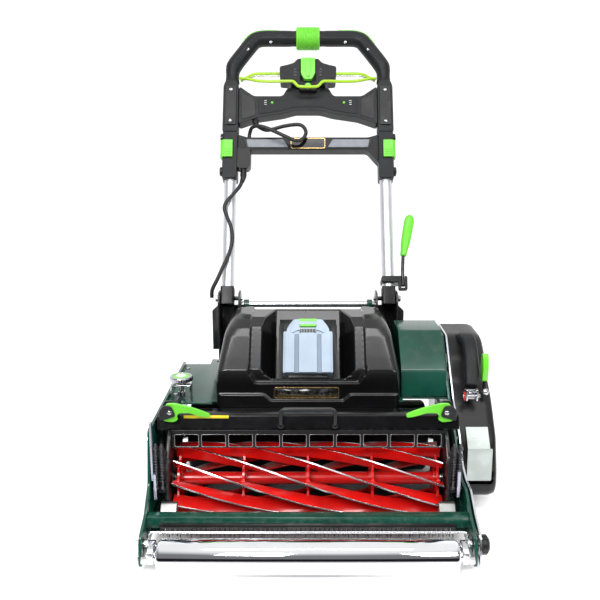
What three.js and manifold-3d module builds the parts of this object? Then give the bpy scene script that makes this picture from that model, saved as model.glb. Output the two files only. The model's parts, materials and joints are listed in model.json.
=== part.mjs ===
// Cordless reel mower: a 510 mm cutting cylinder in a lift-out cassette, a chrome front roller,
// a two-piece rear drive roller, a battery hood, a side transmission and a folding handle.
// Millimetres, +Z up. The mower faces -Y, and its right-hand transmission side is +X.
// While it is built, Y = 0 is the front roller's axis and Z = 0 is the ground. The finished
// group is moved so that its origin is the bottom centre of its box.
import * as THREE from 'three';
import { mergeVertices } from 'three/addons/utils/BufferGeometryUtils.js';
import Module from 'manifold-3d';

const wasm = await Module();
wasm.setup();

// ---------- driving dimensions ----------
const GAP = 0.3;
const CUT = 510; // cutting width
const REEL = { y: 187, z: 91, r: 70, rimR: 48, blades: 10, spiders: 5, twist: THREE.MathUtils.degToRad(148) };
const ROLLER = { r: 31, half: 263, boreR: 8 };
const DRIVE = { y: 440, z: 78, r: 78, half: 262, axleR: 11.5 };
const PLATE_IN = 290; // inner faces of the side plates, from the centre
const PLATE_T = 5;
const GUARD = { x0: 299.5, x1: 303 };
const END_IN = 259; // inner faces of the cassette's end plates
const END_T = 6;
const DECK_Z = 206;
const DECK_T = 3.2;
const COVER_X = 384; // outer face of the transmission cover
const MOTOR_SHAFT = { y: 405, z: 250 };
const LEG = { x: 187, r: 14.5 };
const LEAN = THREE.MathUtils.degToRad(26.26); // handle's lean back from upright
const HANDLE_FOOT = { y: 563.2, z: 402.2 };
const FOLD = { y: 25, t: 377 }; // upper fold's axis in the handle's frame
const BATTERY_TILT = THREE.MathUtils.degToRad(40.4);
const BATTERY = { half: 52, length: 123, depth: 60, y: 300, z: 271 };

// ---------- materials ----------
const paint = (color, roughness, metalness) => new THREE.MeshStandardMaterial({ color, roughness, metalness });
const finish = {
  green: () => paint(0x0f4a37, 0.3, 0.2),
  black: () => paint(0x17181a, 0.55, 0.0),
  gloss: () => paint(0x0b0c0d, 0.15, 0.0),
  charcoal: () => paint(0x2c2e31, 0.7, 0.0),
  lime: () => paint(0x8ef05a, 0.4, 0.0),
  red: () => paint(0xd9160c, 0.35, 0.2),
  chrome: () => paint(0xdfe3e6, 0.08, 1.0),
  steel: () => paint(0xb9bec2, 0.3, 1.0),
  alloy: () => paint(0xc4c8cc, 0.35, 0.9),
  battery: () => paint(0xc8d8e6, 0.5, 0.0),
  rubber: () => paint(0x121314, 0.85, 0.0),
};

// ---------- shape helpers ----------
const ACROSS_X = new THREE.Matrix4().makeBasis(
  new THREE.Vector3(0, 1, 0),
  new THREE.Vector3(0, 0, 1),
  new THREE.Vector3(1, 0, 0),
);
const ALONG_Y = new THREE.Matrix4().makeBasis(
  new THREE.Vector3(1, 0, 0),
  new THREE.Vector3(0, 0, 1),
  new THREE.Vector3(0, -1, 0),
);

// A closed outline from corner points, each corner rounded by at most `radius`.
function outline(points, radius = 0, Kind = THREE.Shape) {
  const shape = new Kind();
  const corners = points.map(([x, y]) => new THREE.Vector2(x, y));
  corners.forEach((corner, i) => {
    const before = corners[(i + corners.length - 1) % corners.length];
    const after = corners[(i + 1) % corners.length];
    const r = Math.min(radius, corner.distanceTo(before) * 0.45, corner.distanceTo(after) * 0.45);
    const start = corner.clone().lerp(before, r / corner.distanceTo(before));
    const end = corner.clone().lerp(after, r / corner.distanceTo(after));
    if (i === 0) shape.moveTo(start.x, start.y);
    else shape.lineTo(start.x, start.y);
    if (r > 0) shape.quadraticCurveTo(corner.x, corner.y, end.x, end.y);
  });
  shape.closePath();
  return shape;
}

// A round hole that clears a shaft of radius r all round.
function roundHole(x, y, r, sides = 16) {
  const reach = r / Math.cos(Math.PI / sides);
  const points = Array.from({ length: sides }, (_, i) => {
    const a = (i / sides) * Math.PI * 2;
    return [x + reach * Math.cos(a), y + reach * Math.sin(a)];
  });
  return outline(points, 0, THREE.Path);
}

// Extrudes a shape by `depth`, with edges rounded by `bevel` inside the shape's own size.
function slab(shape, depth, bevel = 0, curveSegments = 2) {
  const geometry = new THREE.ExtrudeGeometry(shape, {
    depth: depth - 2 * bevel,
    curveSegments,
    bevelEnabled: bevel > 0,
    bevelThickness: bevel,
    bevelSize: bevel,
    bevelOffset: -bevel,
    bevelSegments: 1,
  });
  return geometry.translate(0, 0, bevel);
}

const acrossX = (shape, x0, x1, bevel, segments) =>
  slab(shape, x1 - x0, bevel, segments).applyMatrix4(ACROSS_X).translate(x0, 0, 0);
const alongY = (shape, y0, y1, bevel, segments) =>
  slab(shape, y1 - y0, bevel, segments).applyMatrix4(ALONG_Y).translate(0, y1, 0);
const alongZ = (shape, z0, z1, bevel, segments) => slab(shape, z1 - z0, bevel, segments).translate(0, 0, z0);

function box(x0, x1, y0, y1, z0, z1) {
  const geometry = new THREE.BoxGeometry(x1 - x0, y1 - y0, z1 - z0);
  return geometry.translate((x0 + x1) / 2, (y0 + y1) / 2, (z0 + z1) / 2);
}

const softBox = (x0, x1, y0, y1, z0, z1, r, bevel = 2) =>
  alongY(outline([[x0, z0], [x1, z0], [x1, z1], [x0, z1]], r), y0, y1, bevel);

function rodX(r, x0, x1, y, z, sides = 24) {
  const rod = new THREE.CylinderGeometry(r, r, x1 - x0, sides).rotateZ(Math.PI / 2);
  return rod.translate((x0 + x1) / 2, y, z);
}

function rodY(r, x, y0, y1, z, sides = 20) {
  return new THREE.CylinderGeometry(r, r, y1 - y0, sides).translate(x, (y0 + y1) / 2, z);
}

function rodZ(r, x, y, z0, z1, sides = 24) {
  const rod = new THREE.CylinderGeometry(r, r, z1 - z0, sides).rotateX(Math.PI / 2);
  return rod.translate(x, y, (z0 + z1) / 2);
}

// A bar of round section through the given points; corners are softened by the curve's tension.
function tube(points, r, steps, sides = 8, tension = 0.5) {
  const path = new THREE.CatmullRomCurve3(points.map((p) => new THREE.Vector3(...p)), false, 'catmullrom', tension);
  const section = new THREE.Shape();
  for (let i = 0; i < sides; i++) {
    const a = (i / sides) * Math.PI * 2;
    if (i === 0) section.moveTo(r, 0);
    else section.lineTo(r * Math.cos(a), r * Math.sin(a));
  }
  section.closePath();
  return new THREE.ExtrudeGeometry(section, { steps, extrudePath: path, curveSegments: 1 });
}

// A ring or drum about X, from [radius, x] pairs that close on themselves.
function turnedX(profile, y, z, sides = 40) {
  const closed = [...profile, profile[0]].map(([r, x]) => new THREE.Vector2(r, x));
  return new THREE.LatheGeometry(closed, sides).rotateZ(-Math.PI / 2).translate(0, y, z);
}

// The same piece on the other side of the mower, with its faces turned back out.
function mirrored(geometry) {
  const copy = geometry.clone().scale(-1, 1, 1);
  if (!copy.index) copy.setIndex([...Array(copy.attributes.position.count).keys()]);
  const index = copy.index;
  for (let i = 0; i < index.count; i += 3) {
    const first = index.getX(i);
    index.setX(i, index.getX(i + 1));
    index.setX(i + 1, first);
  }
  return copy;
}

// ---------- joining and cutting ----------
function toSolid(geometry) {
  const bare = geometry.clone();
  for (const name of Object.keys(bare.attributes)) {
    if (name !== 'position') bare.deleteAttribute(name);
  }
  bare.clearGroups();
  const merged = geometry.userData.closed ? bare : mergeVertices(bare, 1e-4);
  return new wasm.Manifold(
    new wasm.Mesh({
      numProp: 3,
      vertProperties: new Float32Array(merged.attributes.position.array),
      triVerts: new Uint32Array(merged.index.array),
    }),
  );
}

function toGeometry(manifold) {
  const mesh = manifold.getMesh();
  const geometry = new THREE.BufferGeometry();
  geometry.setAttribute('position', new THREE.BufferAttribute(new Float32Array(mesh.vertProperties), 3));
  geometry.setIndex(new THREE.BufferAttribute(new Uint32Array(mesh.triVerts), 1));
  geometry.computeVertexNormals();
  geometry.userData.closed = true;
  return geometry;
}

const join = (...pieces) => toGeometry(pieces.map(toSolid).reduce((whole, piece) => whole.add(piece)));
const cut = (geometry, ...tools) =>
  toGeometry(tools.map(toSolid).reduce((whole, tool) => whole.subtract(tool), toSolid(geometry)));
const common = (...pieces) => toGeometry(pieces.map(toSolid).reduce((whole, piece) => whole.intersect(piece)));
const both = (geometry) => join(geometry, mirrored(geometry));

const mower = new THREE.Group();

function add(parent, name, geometry, material) {
  const mesh = new THREE.Mesh(geometry, material);
  mesh.name = name;
  parent.add(mesh);
  return mesh;
}

// A piece and its mirror image, as two nodes; the geometry given is the right-hand one.
function addPair(parent, name, geometry, makeFinish) {
  add(parent, `${name}_right`, geometry, makeFinish());
  add(parent, `${name}_left`, mirrored(geometry), makeFinish());
}

// ---------- side plates and cross members ----------
const FOOT = [[53, 82], [28, 74], [6, 66], [-3, 44], [-8, 22], [-4, 12], [60, 20], [380, 34], [440, 48], [540, 60], [560, 120]];
const LEFT_TOP = [[556, 216], [116, 219], [96, 122]];
const RIGHT_TOP = [[556, 300], [520, 318], [418, 318], [303, 211], [234, 172], [184, 120], [143, 107], [100, 107]];

function sidePlates() {
  const left = outline([...FOOT, ...LEFT_TOP], 6);
  left.holes.push(roundHole(DRIVE.y, DRIVE.z, 15));
  left.holes.push(outline([[9.5, 32], [20.5, 32], [20.5, 60], [9.5, 60]], 5, THREE.Path));
  add(mower, 'side_plate_left', acrossX(left, -PLATE_IN - PLATE_T, -PLATE_IN, 0, 3), finish.green());
  const right = outline([...FOOT, ...RIGHT_TOP], 6);
  right.holes.push(roundHole(DRIVE.y, DRIVE.z, 15));
  right.holes.push(roundHole(MOTOR_SHAFT.y, MOTOR_SHAFT.z, 12));
  right.holes.push(outline([[9.5, 32], [20.5, 32], [20.5, 60], [9.5, 60]], 5, THREE.Path));
  add(mower, 'side_plate_right', acrossX(right, PLATE_IN, PLATE_IN + PLATE_T, 0, 3), finish.green());
  add(mower, 'guard_plate_right', acrossX(right, GUARD.x0, GUARD.x1, 0, 3), finish.steel());
}

function crossMembers() {
  const fold = [[48, 60], [48, 70], [52, 78], [70, 80], [70, 77.4], [54, 75.6], [51, 69.5], [51, 60]];
  const end = PLATE_IN - GAP;
  add(mower, 'front_crossbar', acrossX(outline(fold), -end, end), finish.green());
  const comb = [[44, 69], [47.7, 69], [47.7, 58], [44, 58], [42, 50], [37, 50], [38, 60]];
  add(mower, 'roller_brush', acrossX(outline(comb), -266, 266), finish.rubber());
  const edge = PLATE_IN - GAP;
  const deck = outline([
    [-edge, 287.5], [-197, 287.5], [-197, 300], [197, 300], [197, 320], [edge, 320],
    [edge, 556], [232, 556], [232, 596], [-232, 596], [-232, 556], [-edge, 556],
  ]);
  add(mower, 'deck_plate', alongZ(deck, DECK_Z, DECK_Z + DECK_T), finish.green());
}

// ---------- front roller and its height adjuster ----------
function frontRoller() {
  const { r, half, boreR } = ROLLER;
  const drum = [[boreR, -half], [r - 7, -half], [r - 2, -half + 2], [r, -half + 7]];
  const profile = [...drum, ...drum.map(([radius, x]) => [radius, -x]).reverse()];
  add(mower, 'front_roller', turnedX(profile, 0, r, 32), finish.chrome());

  const arm = outline([[-13, 20], [-13, 44], [4, 52], [26, 52], [28, 34], [14, 20]], 8);
  const bracket = join(
    acrossX(arm, 268, 280, 1.5, 2),
    rodX(boreR - GAP, 205, 270, 0, r, 20),
    rodX(10, 265.5, 269, 0, r, 20),
    rodX(5, 279, GUARD.x1 + 1, 15, 46, 12),
    rodX(9, 280, PLATE_IN - GAP, 15, 46, 16),
    rodX(7, 280, PLATE_IN - GAP, -6, 27, 6),
  );
  const leftHead = rodX(9, -PLATE_IN - PLATE_T - 8, -PLATE_IN - PLATE_T - GAP, 15, 46, 6);
  const leftArm = cut(mirrored(bracket), box(-320, -PLATE_IN - PLATE_T - 2, -40, 60, 0, 90));
  const leftShank = rodX(5, -PLATE_IN - PLATE_T - 1, -PLATE_IN - PLATE_T + 4, 15, 46, 12);
  add(mower, 'roller_bracket_right', bracket, finish.steel());
  add(mower, 'roller_bracket_left', join(leftArm, leftShank, leftHead), finish.steel());

  const dome = [[5.4, 303.5], [17, 303.5], [17, 312], [13, 317], [7, 319], [0.01, 319.5], [0.01, 305], [5.4, 305]];
  add(mower, 'clamp_knob', turnedX(dome, 15, 46, 16), finish.black());

  const x = 284;
  const bend = [[x, 30, 46], [x, 30, 53], [x - 3, 30, 59], [x - 9, 30, 60.5], [x - 16, 30, 60.5]];
  const whole = [...bend, [0, 30, 60.5], ...bend.map(([px, y, z]) => [-px, y, z]).reverse()];
  add(mower, 'scraper_rod', tube(whole, 2.6, 28, 6, 0.1), finish.chrome());
}

// ---------- rear drive roller and transmission ----------
function gear(teeth, rootR, tipR, y, z, x0, x1, hubR) {
  const points = [];
  for (let i = 0; i < teeth; i++) {
    for (const [part, radius] of [[0, rootR], [0.3, tipR], [0.5, tipR], [0.8, rootR]]) {
      const a = ((i + part) / teeth) * Math.PI * 2;
      points.push([y + radius * Math.cos(a), z + radius * Math.sin(a)]);
    }
  }
  const shape = outline(points);
  if (hubR) shape.holes.push(roundHole(y, z, hubR));
  return acrossX(shape, x0, x1, 0, 6);
}

function rearDrive() {
  const { y, z, r, half, axleR } = DRIVE;
  const drum = (x0, x1) => {
    const profile = [[axleR + GAP, x0], [r - 4, x0], [r, x0 + 5], [r, x1 - 5], [r - 4, x1], [axleR + GAP, x1]];
    return turnedX(profile, y, z, 32);
  };
  add(mower, 'rear_roller_left', drum(-half, -2), finish.black());
  add(mower, 'rear_roller_right', drum(2, half), finish.black());
  add(mower, 'rear_axle', rodX(axleR, -PLATE_IN - 12, 322, y, z, 24), finish.steel());
  add(mower, 'roller_sprocket', gear(22, 41, 45, y, z, 308, 314, axleR + GAP), finish.steel());
  const shaft = rodX(9, 252, 309, MOTOR_SHAFT.y, MOTOR_SHAFT.z, 20);
  const pinion = gear(12, 20, 24, MOTOR_SHAFT.y, MOTOR_SHAFT.z, 308, 314);
  add(mower, 'motor_sprocket', join(shaft, pinion), finish.steel());
  add(mower, 'drive_chain', chain([y, z, 46], [MOTOR_SHAFT.y, MOTOR_SHAFT.z, 25], 6, 307, 315), finish.steel());
}

// A closed loop round two sprockets, given as [y, z, inner radius].
function chain([y0, z0, r0], [y1, z1, r1], thick, x0, x1) {
  const along = Math.atan2(z1 - z0, y1 - y0);
  const tilt = Math.acos((r0 - r1) / Math.hypot(y1 - y0, z1 - z0));
  const loop = (extra, Kind) =>
    new Kind()
      .absarc(y1, z1, r1 + extra, along - tilt, along + tilt, false)
      .absarc(y0, z0, r0 + extra, along + tilt, along - tilt + Math.PI * 2, false);
  const shape = loop(thick, THREE.Shape);
  shape.closePath();
  shape.holes.push(loop(0, THREE.Path));
  return acrossX(shape, x0, x1, 0, 8);
}

function transmission() {
  const side = (inset) => outline([
    [228 + inset, 34 + inset], [228 + inset, 70], [250 + inset, 144], [309 + inset, 206], [352 + inset, 236],
    [378 + inset, 286 - inset], [415, 302 - inset], [535, 302 - inset], [572 - inset, 268], [572 - inset, 62],
    [540, 20 + inset], [252, 20 + inset],
  ], 14);
  const inner = GUARD.x1 + GAP;
  const shell = cut(
    acrossX(side(0), inner - 10, COVER_X, 9, 3),
    box(0, inner, 0, 700, 0, 400),
    acrossX(side(4), inner - 20, COVER_X - 4, 6, 2),
    rodX(14, inner - 5, COVER_X + 20, 540, 300, 3).translate(0, 200, 0),
  );
  add(mower, 'transmission_cover', shell, finish.black());
  const path = [[326, 430, 304.5], [327, 430, 312], [335, 415, 326], [346, 385, 329], [348, 362, 312], [340, 325, 270], [334, 297, 240]];
  add(mower, 'grab_handle', tube(path, 16, 14, 10, 0.5), finish.black());
}

// ---------- cutting reel ----------
function reel() {
  const { y, z, rimR, blades, spiders, twist } = REEL;
  const half = CUT / 2;
  const parts = [rodX(12, -half, half, y, z, 20), rodX(8, -END_IN - 12, END_IN + 12, y, z, 12)];
  for (let i = 0; i < spiders; i++) {
    const x = THREE.MathUtils.lerp(-half + 8, half - 8, i / (spiders - 1));
    parts.push(rodX(rimR + 2, x - 3, x + 3, y, z, 24));
  }
  const section = outline([[-2, rimR], [2, rimR], [-1, REEL.r], [-4, REEL.r]]);
  const steps = 14;
  for (let k = 0; k < blades; k++) {
    const blade = new THREE.ExtrudeGeometry(section, { depth: CUT, steps, bevelEnabled: false });
    const p = blade.attributes.position;
    for (let i = 0; i < p.count; i++) {
      const a = (p.getZ(i) / CUT) * twist + (k / blades) * Math.PI * 2;
      const [u, v] = [p.getX(i), p.getY(i)];
      p.setXY(i, u * Math.cos(a) - v * Math.sin(a), u * Math.sin(a) + v * Math.cos(a));
    }
    parts.push(blade.applyMatrix4(ACROSS_X).translate(-half, y, z));
  }
  add(mower, 'reel', join(...parts), finish.red());
}

// ---------- lift-out cassette ----------
function cassette() {
  const end = outline([
    [122, 52], [108, 108], [122, 158], [146, 190], [164, 202], [173, 225.6], [282, 225.6], [286, 120], [262, 30], [240, 14], [170, 12], [150, 30],
  ], 8);
  end.holes.push(roundHole(REEL.y, REEL.z, 9));
  const housing = cut(rodX(24, END_IN + END_T - 1, END_IN + 18, REEL.y, REEL.z, 24), rodX(9, 200, 300, REEL.y, REEL.z, 24));
  const tower = softBox(END_IN + END_T - 1, 283, 112, 126, 96, 176, 3, 1);
  addPair(mower, 'cassette_end', join(acrossX(end, END_IN, END_IN + END_T, 0, 3), housing, tower), finish.black);

  const fold = [[284, 229.4], [165, 229.4], [156, 204], [159, 203], [167.4, 226.4], [284, 226.4]];
  const flap = outline([[-END_IN + 1, 168], [END_IN - 1, 168], [END_IN - 1, 205], [-END_IN + 1, 205]]);
  const windows = 10;
  for (let i = 0; i < windows; i++) {
    const x = (i - (windows - 1) / 2) * 51;
    flap.holes.push(outline([[x - 22, 174], [x + 22, 174], [x + 22, 195], [x - 22, 195]], 3, THREE.Path));
  }
  const ear = join(box(244, 272, 164.7, 168, 227, 252), rodY(4, 258, 143, 166, 243, 16));
  const lid = join(acrossX(outline(fold), -286, 286), alongY(flap, 154, 157.5, 0, 2), both(ear));
  add(mower, 'cassette_lid', lid, finish.gloss());

  const edge = END_IN - GAP;
  const bed = outline([[184, 15], [184, 20.4], [204, 20.4], [240, 33], [252, 33], [252, 22], [236, 12], [200, 12]]);
  add(mower, 'bottom_blade', acrossX(bed, -edge, edge), finish.steel());

  const rail = [[-51, 157, 214], [-51, 151, 216], [-51, 149, 230], [-47, 150, 243], [-36, 150, 246]];
  const loop = [...rail, ...rail.map(([x, y, z]) => [-x, y, z]).reverse()];
  add(mower, 'lift_handle', tube(loop, 4, 20, 8, 0.4), finish.black());

  const lever = outline([
    [6, -10], [14, -20], [8, -25], [-8, -14], [-12, 0], [-6, 10], [8, 9], [30, 3], [56, -3], [74, -3], [74, -11], [56, -12], [30, -8],
  ], 2);
  const shape = alongY(lever, -3.5, 3.5, 0, 3);
  for (const [name, side] of [['cam_lever_left', -1], ['cam_lever_right', 1]]) {
    const pivot = new THREE.Group();
    pivot.position.set(side * 258, 150, 243);
    mower.add(pivot);
    const hooked = side < 0 ? shape : mirrored(shape);
    add(pivot, name, cut(hooked, rodY(4.3, 0, -20, 20, 0, 16)), finish.lime());
  }
}

// ---------- hood, battery and gear cover ----------
function tiltFrame() {
  const group = new THREE.Group();
  group.position.set(0, BATTERY.y, BATTERY.z);
  group.rotation.x = -BATTERY_TILT;
  group.updateMatrix();
  return group;
}

function hoodBlock(inset, bottom) {
  const i = inset;
  const side = outline([
    [288 + i, bottom], [289 + i, 274], [358 + i, 354 - i], [392, 372 - i], [470, 370 - i],
    [508 - i, 340], [515 - i, bottom],
  ], 16);
  const front = outline([
    [-190 + i, bottom], [-190 + i, 252], [-176 + i, 336], [-150, 377 - i], [150, 377 - i],
    [176 - i, 336], [190 - i, 252], [190 - i, bottom],
  ], 22);
  const plan = outline([
    [-174 + i, 286 + i], [174 - i, 286 + i], [190 - i, 306], [190 - i, 500], [172, 518 - i],
    [-172, 518 - i], [-190 + i, 500], [-190 + i, 306],
  ], 10);
  return common(acrossX(side, -200, 200, 0, 3), alongY(front, 250, 540, 0, 3), alongZ(plan, bottom - 1, 400, 0, 2));
}

function hoodAndBattery() {
  const tilt = tiltFrame();
  const channel = (grow) =>
    alongZ(
      outline([[-100 - grow, -90], [100 + grow, -90], [69 + grow, 66 + grow], [-69 - grow, 66 + grow]], 8),
      -8 - grow, 320,
    ).applyMatrix4(tilt.matrix);
  const skirt = box(-300, 300, 297, 600, 0, DECK_Z + DECK_T + GAP);
  const hollow = cut(hoodBlock(4, 150), channel(4));
  add(mower, 'motor_hood', cut(hoodBlock(0, 190), channel(0), hollow, skirt), finish.gloss());

  mower.add(tilt);
  const { half, length, depth } = BATTERY;
  const face = outline([[-half, 0], [half, 0], [half, length - 22], [38, length], [-38, length], [-half, length - 22]], 5);
  const grooves = [-23, 23].map((x) => box(x - 2.5, x + 2.5, -1, 3, 6, length - 34));
  const pack = cut(alongY(face, 0, depth, 3, 3), ...grooves, box(-18, 18, -5, 7, length - 20, length - 4));
  add(tilt, 'battery', pack, finish.battery());
  add(tilt, 'battery_release', softBox(-17, 17, -3, 3.5, length - 19, length - 5, 4, 1), finish.lime());
  const dock = join(
    box(-62, 62, depth + GAP, depth + 5, -7.5, 150),
    box(-62, -half - GAP, 26, depth + 1, -7.5, 120),
    box(half + GAP, 62, 26, depth + 1, -7.5, 120),
    box(-40, 40, 10, depth + 1, -7.5, -0.5),
  );
  add(tilt, 'battery_dock', dock, finish.black());

  const side = (i) => outline([
    [320 + i, 209.7 - 40 * (i > 0)], [336 + i, 262], [414 + i, 330 - i], [506, 330 - i], [515 - i, 318], [515 - i, 209.7 - 40 * (i > 0)],
  ], 6);
  const shell = cut(
    acrossX(side(0), 195, 289.7, 3, 3),
    acrossX(side(3), 198, 286.7, 0, 3),
    rodX(12, 280, 300, MOTOR_SHAFT.y, MOTOR_SHAFT.z, 16),
  );
  add(mower, 'gear_cover', shell, finish.green());
  const can = (x0, x1, y, z, r) => join(rodX(r, x0, x1, y, z, 28), rodX(r * 0.55, x0 - 8, x0 + 1, y, z, 20));
  const sump = (x0, x1, y, z) => box(x0, x1, y - 30, y + 30, DECK_Z + DECK_T + GAP, z);
  add(mower, 'drive_motor', join(can(212, 251.7, MOTOR_SHAFT.y, MOTOR_SHAFT.z, 36), sump(216, 246, MOTOR_SHAFT.y, 240)), finish.alloy());
  add(mower, 'reel_motor', join(can(102, 164, 420, 270, 40), sump(108, 158, 420, 250)), finish.alloy());
}

// ---------- height knob ----------
function heightKnob() {
  const [x, y, top] = [-262, 312, 243];
  const deck = DECK_Z + DECK_T + GAP;
  const bracket = join(
    box(x - 21, x - 18, y - 12, y + 12, deck, top), box(x + 18, x + 21, y - 12, y + 12, deck, top),
    box(x - 21, x + 21, y - 12, y + 12, top - 3, top),
  );
  add(mower, 'knob_bracket', cut(bracket, rodZ(5.3, x, y, 230, 260, 16)), finish.steel());
  const dial = new THREE.LatheGeometry(
    [[0, 249], [23, 249], [24, 252], [24, 258], [22, 260], [15, 261], [0, 261]].map(([r, z]) => new THREE.Vector2(r, z)), 24,
  ).rotateX(Math.PI / 2).translate(x, y, 0);
  add(mower, 'height_knob', join(dial, rodZ(5, x, y, deck + 2, 250, 16), rodZ(9, x, y, 243.5, 250, 16)), finish.steel());
}

// ---------- handle base ----------
function handleBase() {
  const deck = DECK_Z + DECK_T + GAP;
  const web = outline([[526, deck], [524, 366], [538, 386], [574, 386], [592, 356], [592, deck]], 6);
  const right = join(
    acrossX(web, 157, 161), acrossX(web, 204, 208),
    box(157, 208, 588, 592, deck, 346), box(157, 208, 526, 592, deck, deck + 4),
    alongY(outline([[207, 247], [224, 247], [224, 340], [207, 356]], 1), 552, 562),
    rodX(5, 160, LEG.x - LEG.r - 1, 547.7, 370.8, 16), rodX(5, LEG.x + LEG.r + 1, 205, 547.7, 370.8, 16),
  );
  addPair(mower, 'handle_bracket', right, finish.black);
  add(mower, 'cross_rod', rodX(7.5, -156.7, 156.7, 560, 354, 24), finish.chrome());
}

// ---------- handle, in its own leaning frame: x across, y back, z up the leg ----------
function handleFrame() {
  const group = new THREE.Group();
  group.position.set(0, HANDLE_FOOT.y, HANDLE_FOOT.z);
  group.rotation.x = -LEAN;
  mower.add(group);
  return group;
}

function lowerHandle(frame) {
  addPair(frame, 'handle_leg', rodZ(LEG.r, LEG.x, 0, -50, 340, 28), finish.alloy);

  const clamp = join(
    softBox(170, 206, -22, 22, 256, FOLD.t - GAP, 6, 3),
    rodX(11, 205, 212, -8, 277, 20), rodX(11, 205, 212, -8, 364, 20),
  );
  const bore = rodZ(LEG.r + GAP, LEG.x, 0, 200, 340.5, 28);
  const bar = alongY(outline([
    [-174, 300], [-143, 331], [143, 331], [174, 296], [174, 372], [146, 364], [-146, 364], [-174, 372],
  ], 4), -14, 14, 1, 2);
  const cableBox = join(softBox(-174, -138, -20, 8, 282, 334, 4, 2), rodZ(7, -155, -10, 270, 284, 16));
  add(frame, 'lower_crossbar', cut(join(both(clamp), bar, cableBox), bore, mirrored(bore)), finish.black());

  const tab = outline([[181, -22.4], [181, -28], [205, -28], [211, -22], [211, -2], [206.6, -2], [206.6, -20], [204, -22.4]], 1.5);
  const latch = alongZ(tab, 309, 352, 0, 2);
  addPair(frame, 'latch', latch, finish.lime);

  const collar = cut(
    join(softBox(170, 222, -22, 19, -2, 14, 5, 2), softBox(209.5, 230, -22, -8, -20, 14, 4, 1)),
    rodZ(LEG.r + GAP, LEG.x, 0, -40, 40, 28), box(215.5, 224.5, -30, 14, -15, 20),
  );
  add(frame, 'lever_collar', join(collar, rodX(3, 214, 226, -15, -6, 12)), finish.black());
}

function upperHandle(frame) {
  const top = 516;
  const shell = join(softBox(170, 208, -20, 22, FOLD.t, top, 7, 4), softBox(175, 203, -23, -19, 394, top - 18, 4, 1));
  addPair(frame, 'handle_casing', shell, finish.black);

  const bend = [[188, 0, top + GAP], [188, 0, 535], [187, 0, 552], [180, 0, 570], [140, 0, 627], [126, 0, 637], [108, 0, 640]];
  const loop = [...bend, [0, 0, 640], ...bend.map(([x, y, z]) => [-x, y, z]).reverse()];
  add(frame, 'grip_loop', tube(loop, 20, 28, 12, 0.4), finish.charcoal());
  const profile = [[20 + GAP, -29.5], [26, -29.5], [28.5, -26], [28.5, 26], [26, 29.5], [20 + GAP, 29.5]];
  add(frame, 'centre_sleeve', turnedX(profile, 0, 640, 24), finish.lime());

  const bridge = outline([
    [-169.7, 398], [-169.7, 500], [-133, 473], [-62, 473], [-50, 496], [50, 496], [62, 473], [133, 473],
    [169.7, 500], [169.7, 398], [122, 416], [60, 426], [30, 435], [-30, 435], [-60, 426], [-122, 416],
  ], 3);
  add(frame, 'console', alongY(bridge, -16, 15, 0, 2), finish.charcoal());

  const pod = outline([
    [-44, 496.3], [-49, 513], [-69, 514], [-70, 546], [-52, 550], [-34, 556], [-26, 567], [26, 567], [34, 556],
    [52, 550], [70, 546], [69, 514], [49, 513], [44, 496.3],
  ], 4);
  const head = join(alongY(pod, -30, 20, 2, 3), softBox(-22, 22, -30, -16.3, 480, 500, 8, 2));
  const pockets = [box(-18.6, 18.6, -40, -24, 505, 570), rodY(8.5, 0, -40, -24, 492, 20)];
  add(frame, 'control_pod', cut(head, ...pockets), finish.black());
  const key = outline([[-10, 506], [-18, 522], [-18, 564], [18, 564], [18, 522], [10, 506]], 5);
  add(frame, 'start_key', alongY(key, -42, -28.5, 3, 3), finish.lime());
  add(frame, 'start_button', rodY(8, 0, -34, -28, 492, 20), finish.lime());

  const wire = (points) => {
    const all = [...points, ...points.map(([x, y, z]) => [-x, y, z]).reverse()];
    return tube(all, 3.6, 28, 6, 0.2);
  };
  const z = 526;
  add(frame, 'rear_bail', wire([[167, 6, z], [159, 8, z + 6], [148, 18, z + 20], [130, 26, z + 31], [60, 27, z + 32]]), finish.lime());
  add(frame, 'front_bail', wire([
    [168.5, -8, z], [158, -12, z - 4], [145, -24, z - 12], [122, -34, z - 22], [92, -38, z - 26], [38, -41, z - 27], [22, -45, z - 43],
  ]), finish.lime());
}

function clutchLever(frame) {
  const arm = join(
    tube([[220, -15, -11], [220, -15, 4], [220, -16, 30], [222, -17, 62]], 4, 8, 8, 0.5),
    box(217, 223, -20, -10, -11.5, 4),
  );
  add(frame, 'clutch_arm', cut(arm, rodX(3.4, 210, 230, -15, -6, 12)), finish.black());
  const grip = alongY(outline([[-7, 0], [7, 0], [11, 30], [12, 92], [6, 102], [-6, 102], [-12, 92], [-10, 30]], 4), -8, 8, 2, 2);
  const turned = new THREE.Group();
  turned.position.set(222, -17, 62.5);
  turned.rotation.y = THREE.MathUtils.degToRad(11);
  frame.add(turned);
  add(turned, 'clutch_grip', grip, finish.lime());
}

// ---------- side lever on the transmission ----------
function sideLever() {
  const pivot = new THREE.Group();
  pivot.position.set(366, 308, 226);
  mower.add(pivot);
  const paddle = acrossX(outline([[2, 16], [14, 16], [24, 40], [24, 72], [16, 80], [4, 78], [-2, 50]], 5), -6, 6, 3, 3);
  const stem = join(rodZ(5, 0, 4, 4, 18, 12), new THREE.SphereGeometry(8, 12, 8));
  add(pivot, 'side_lever', join(paddle, stem), finish.lime());
}

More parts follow.
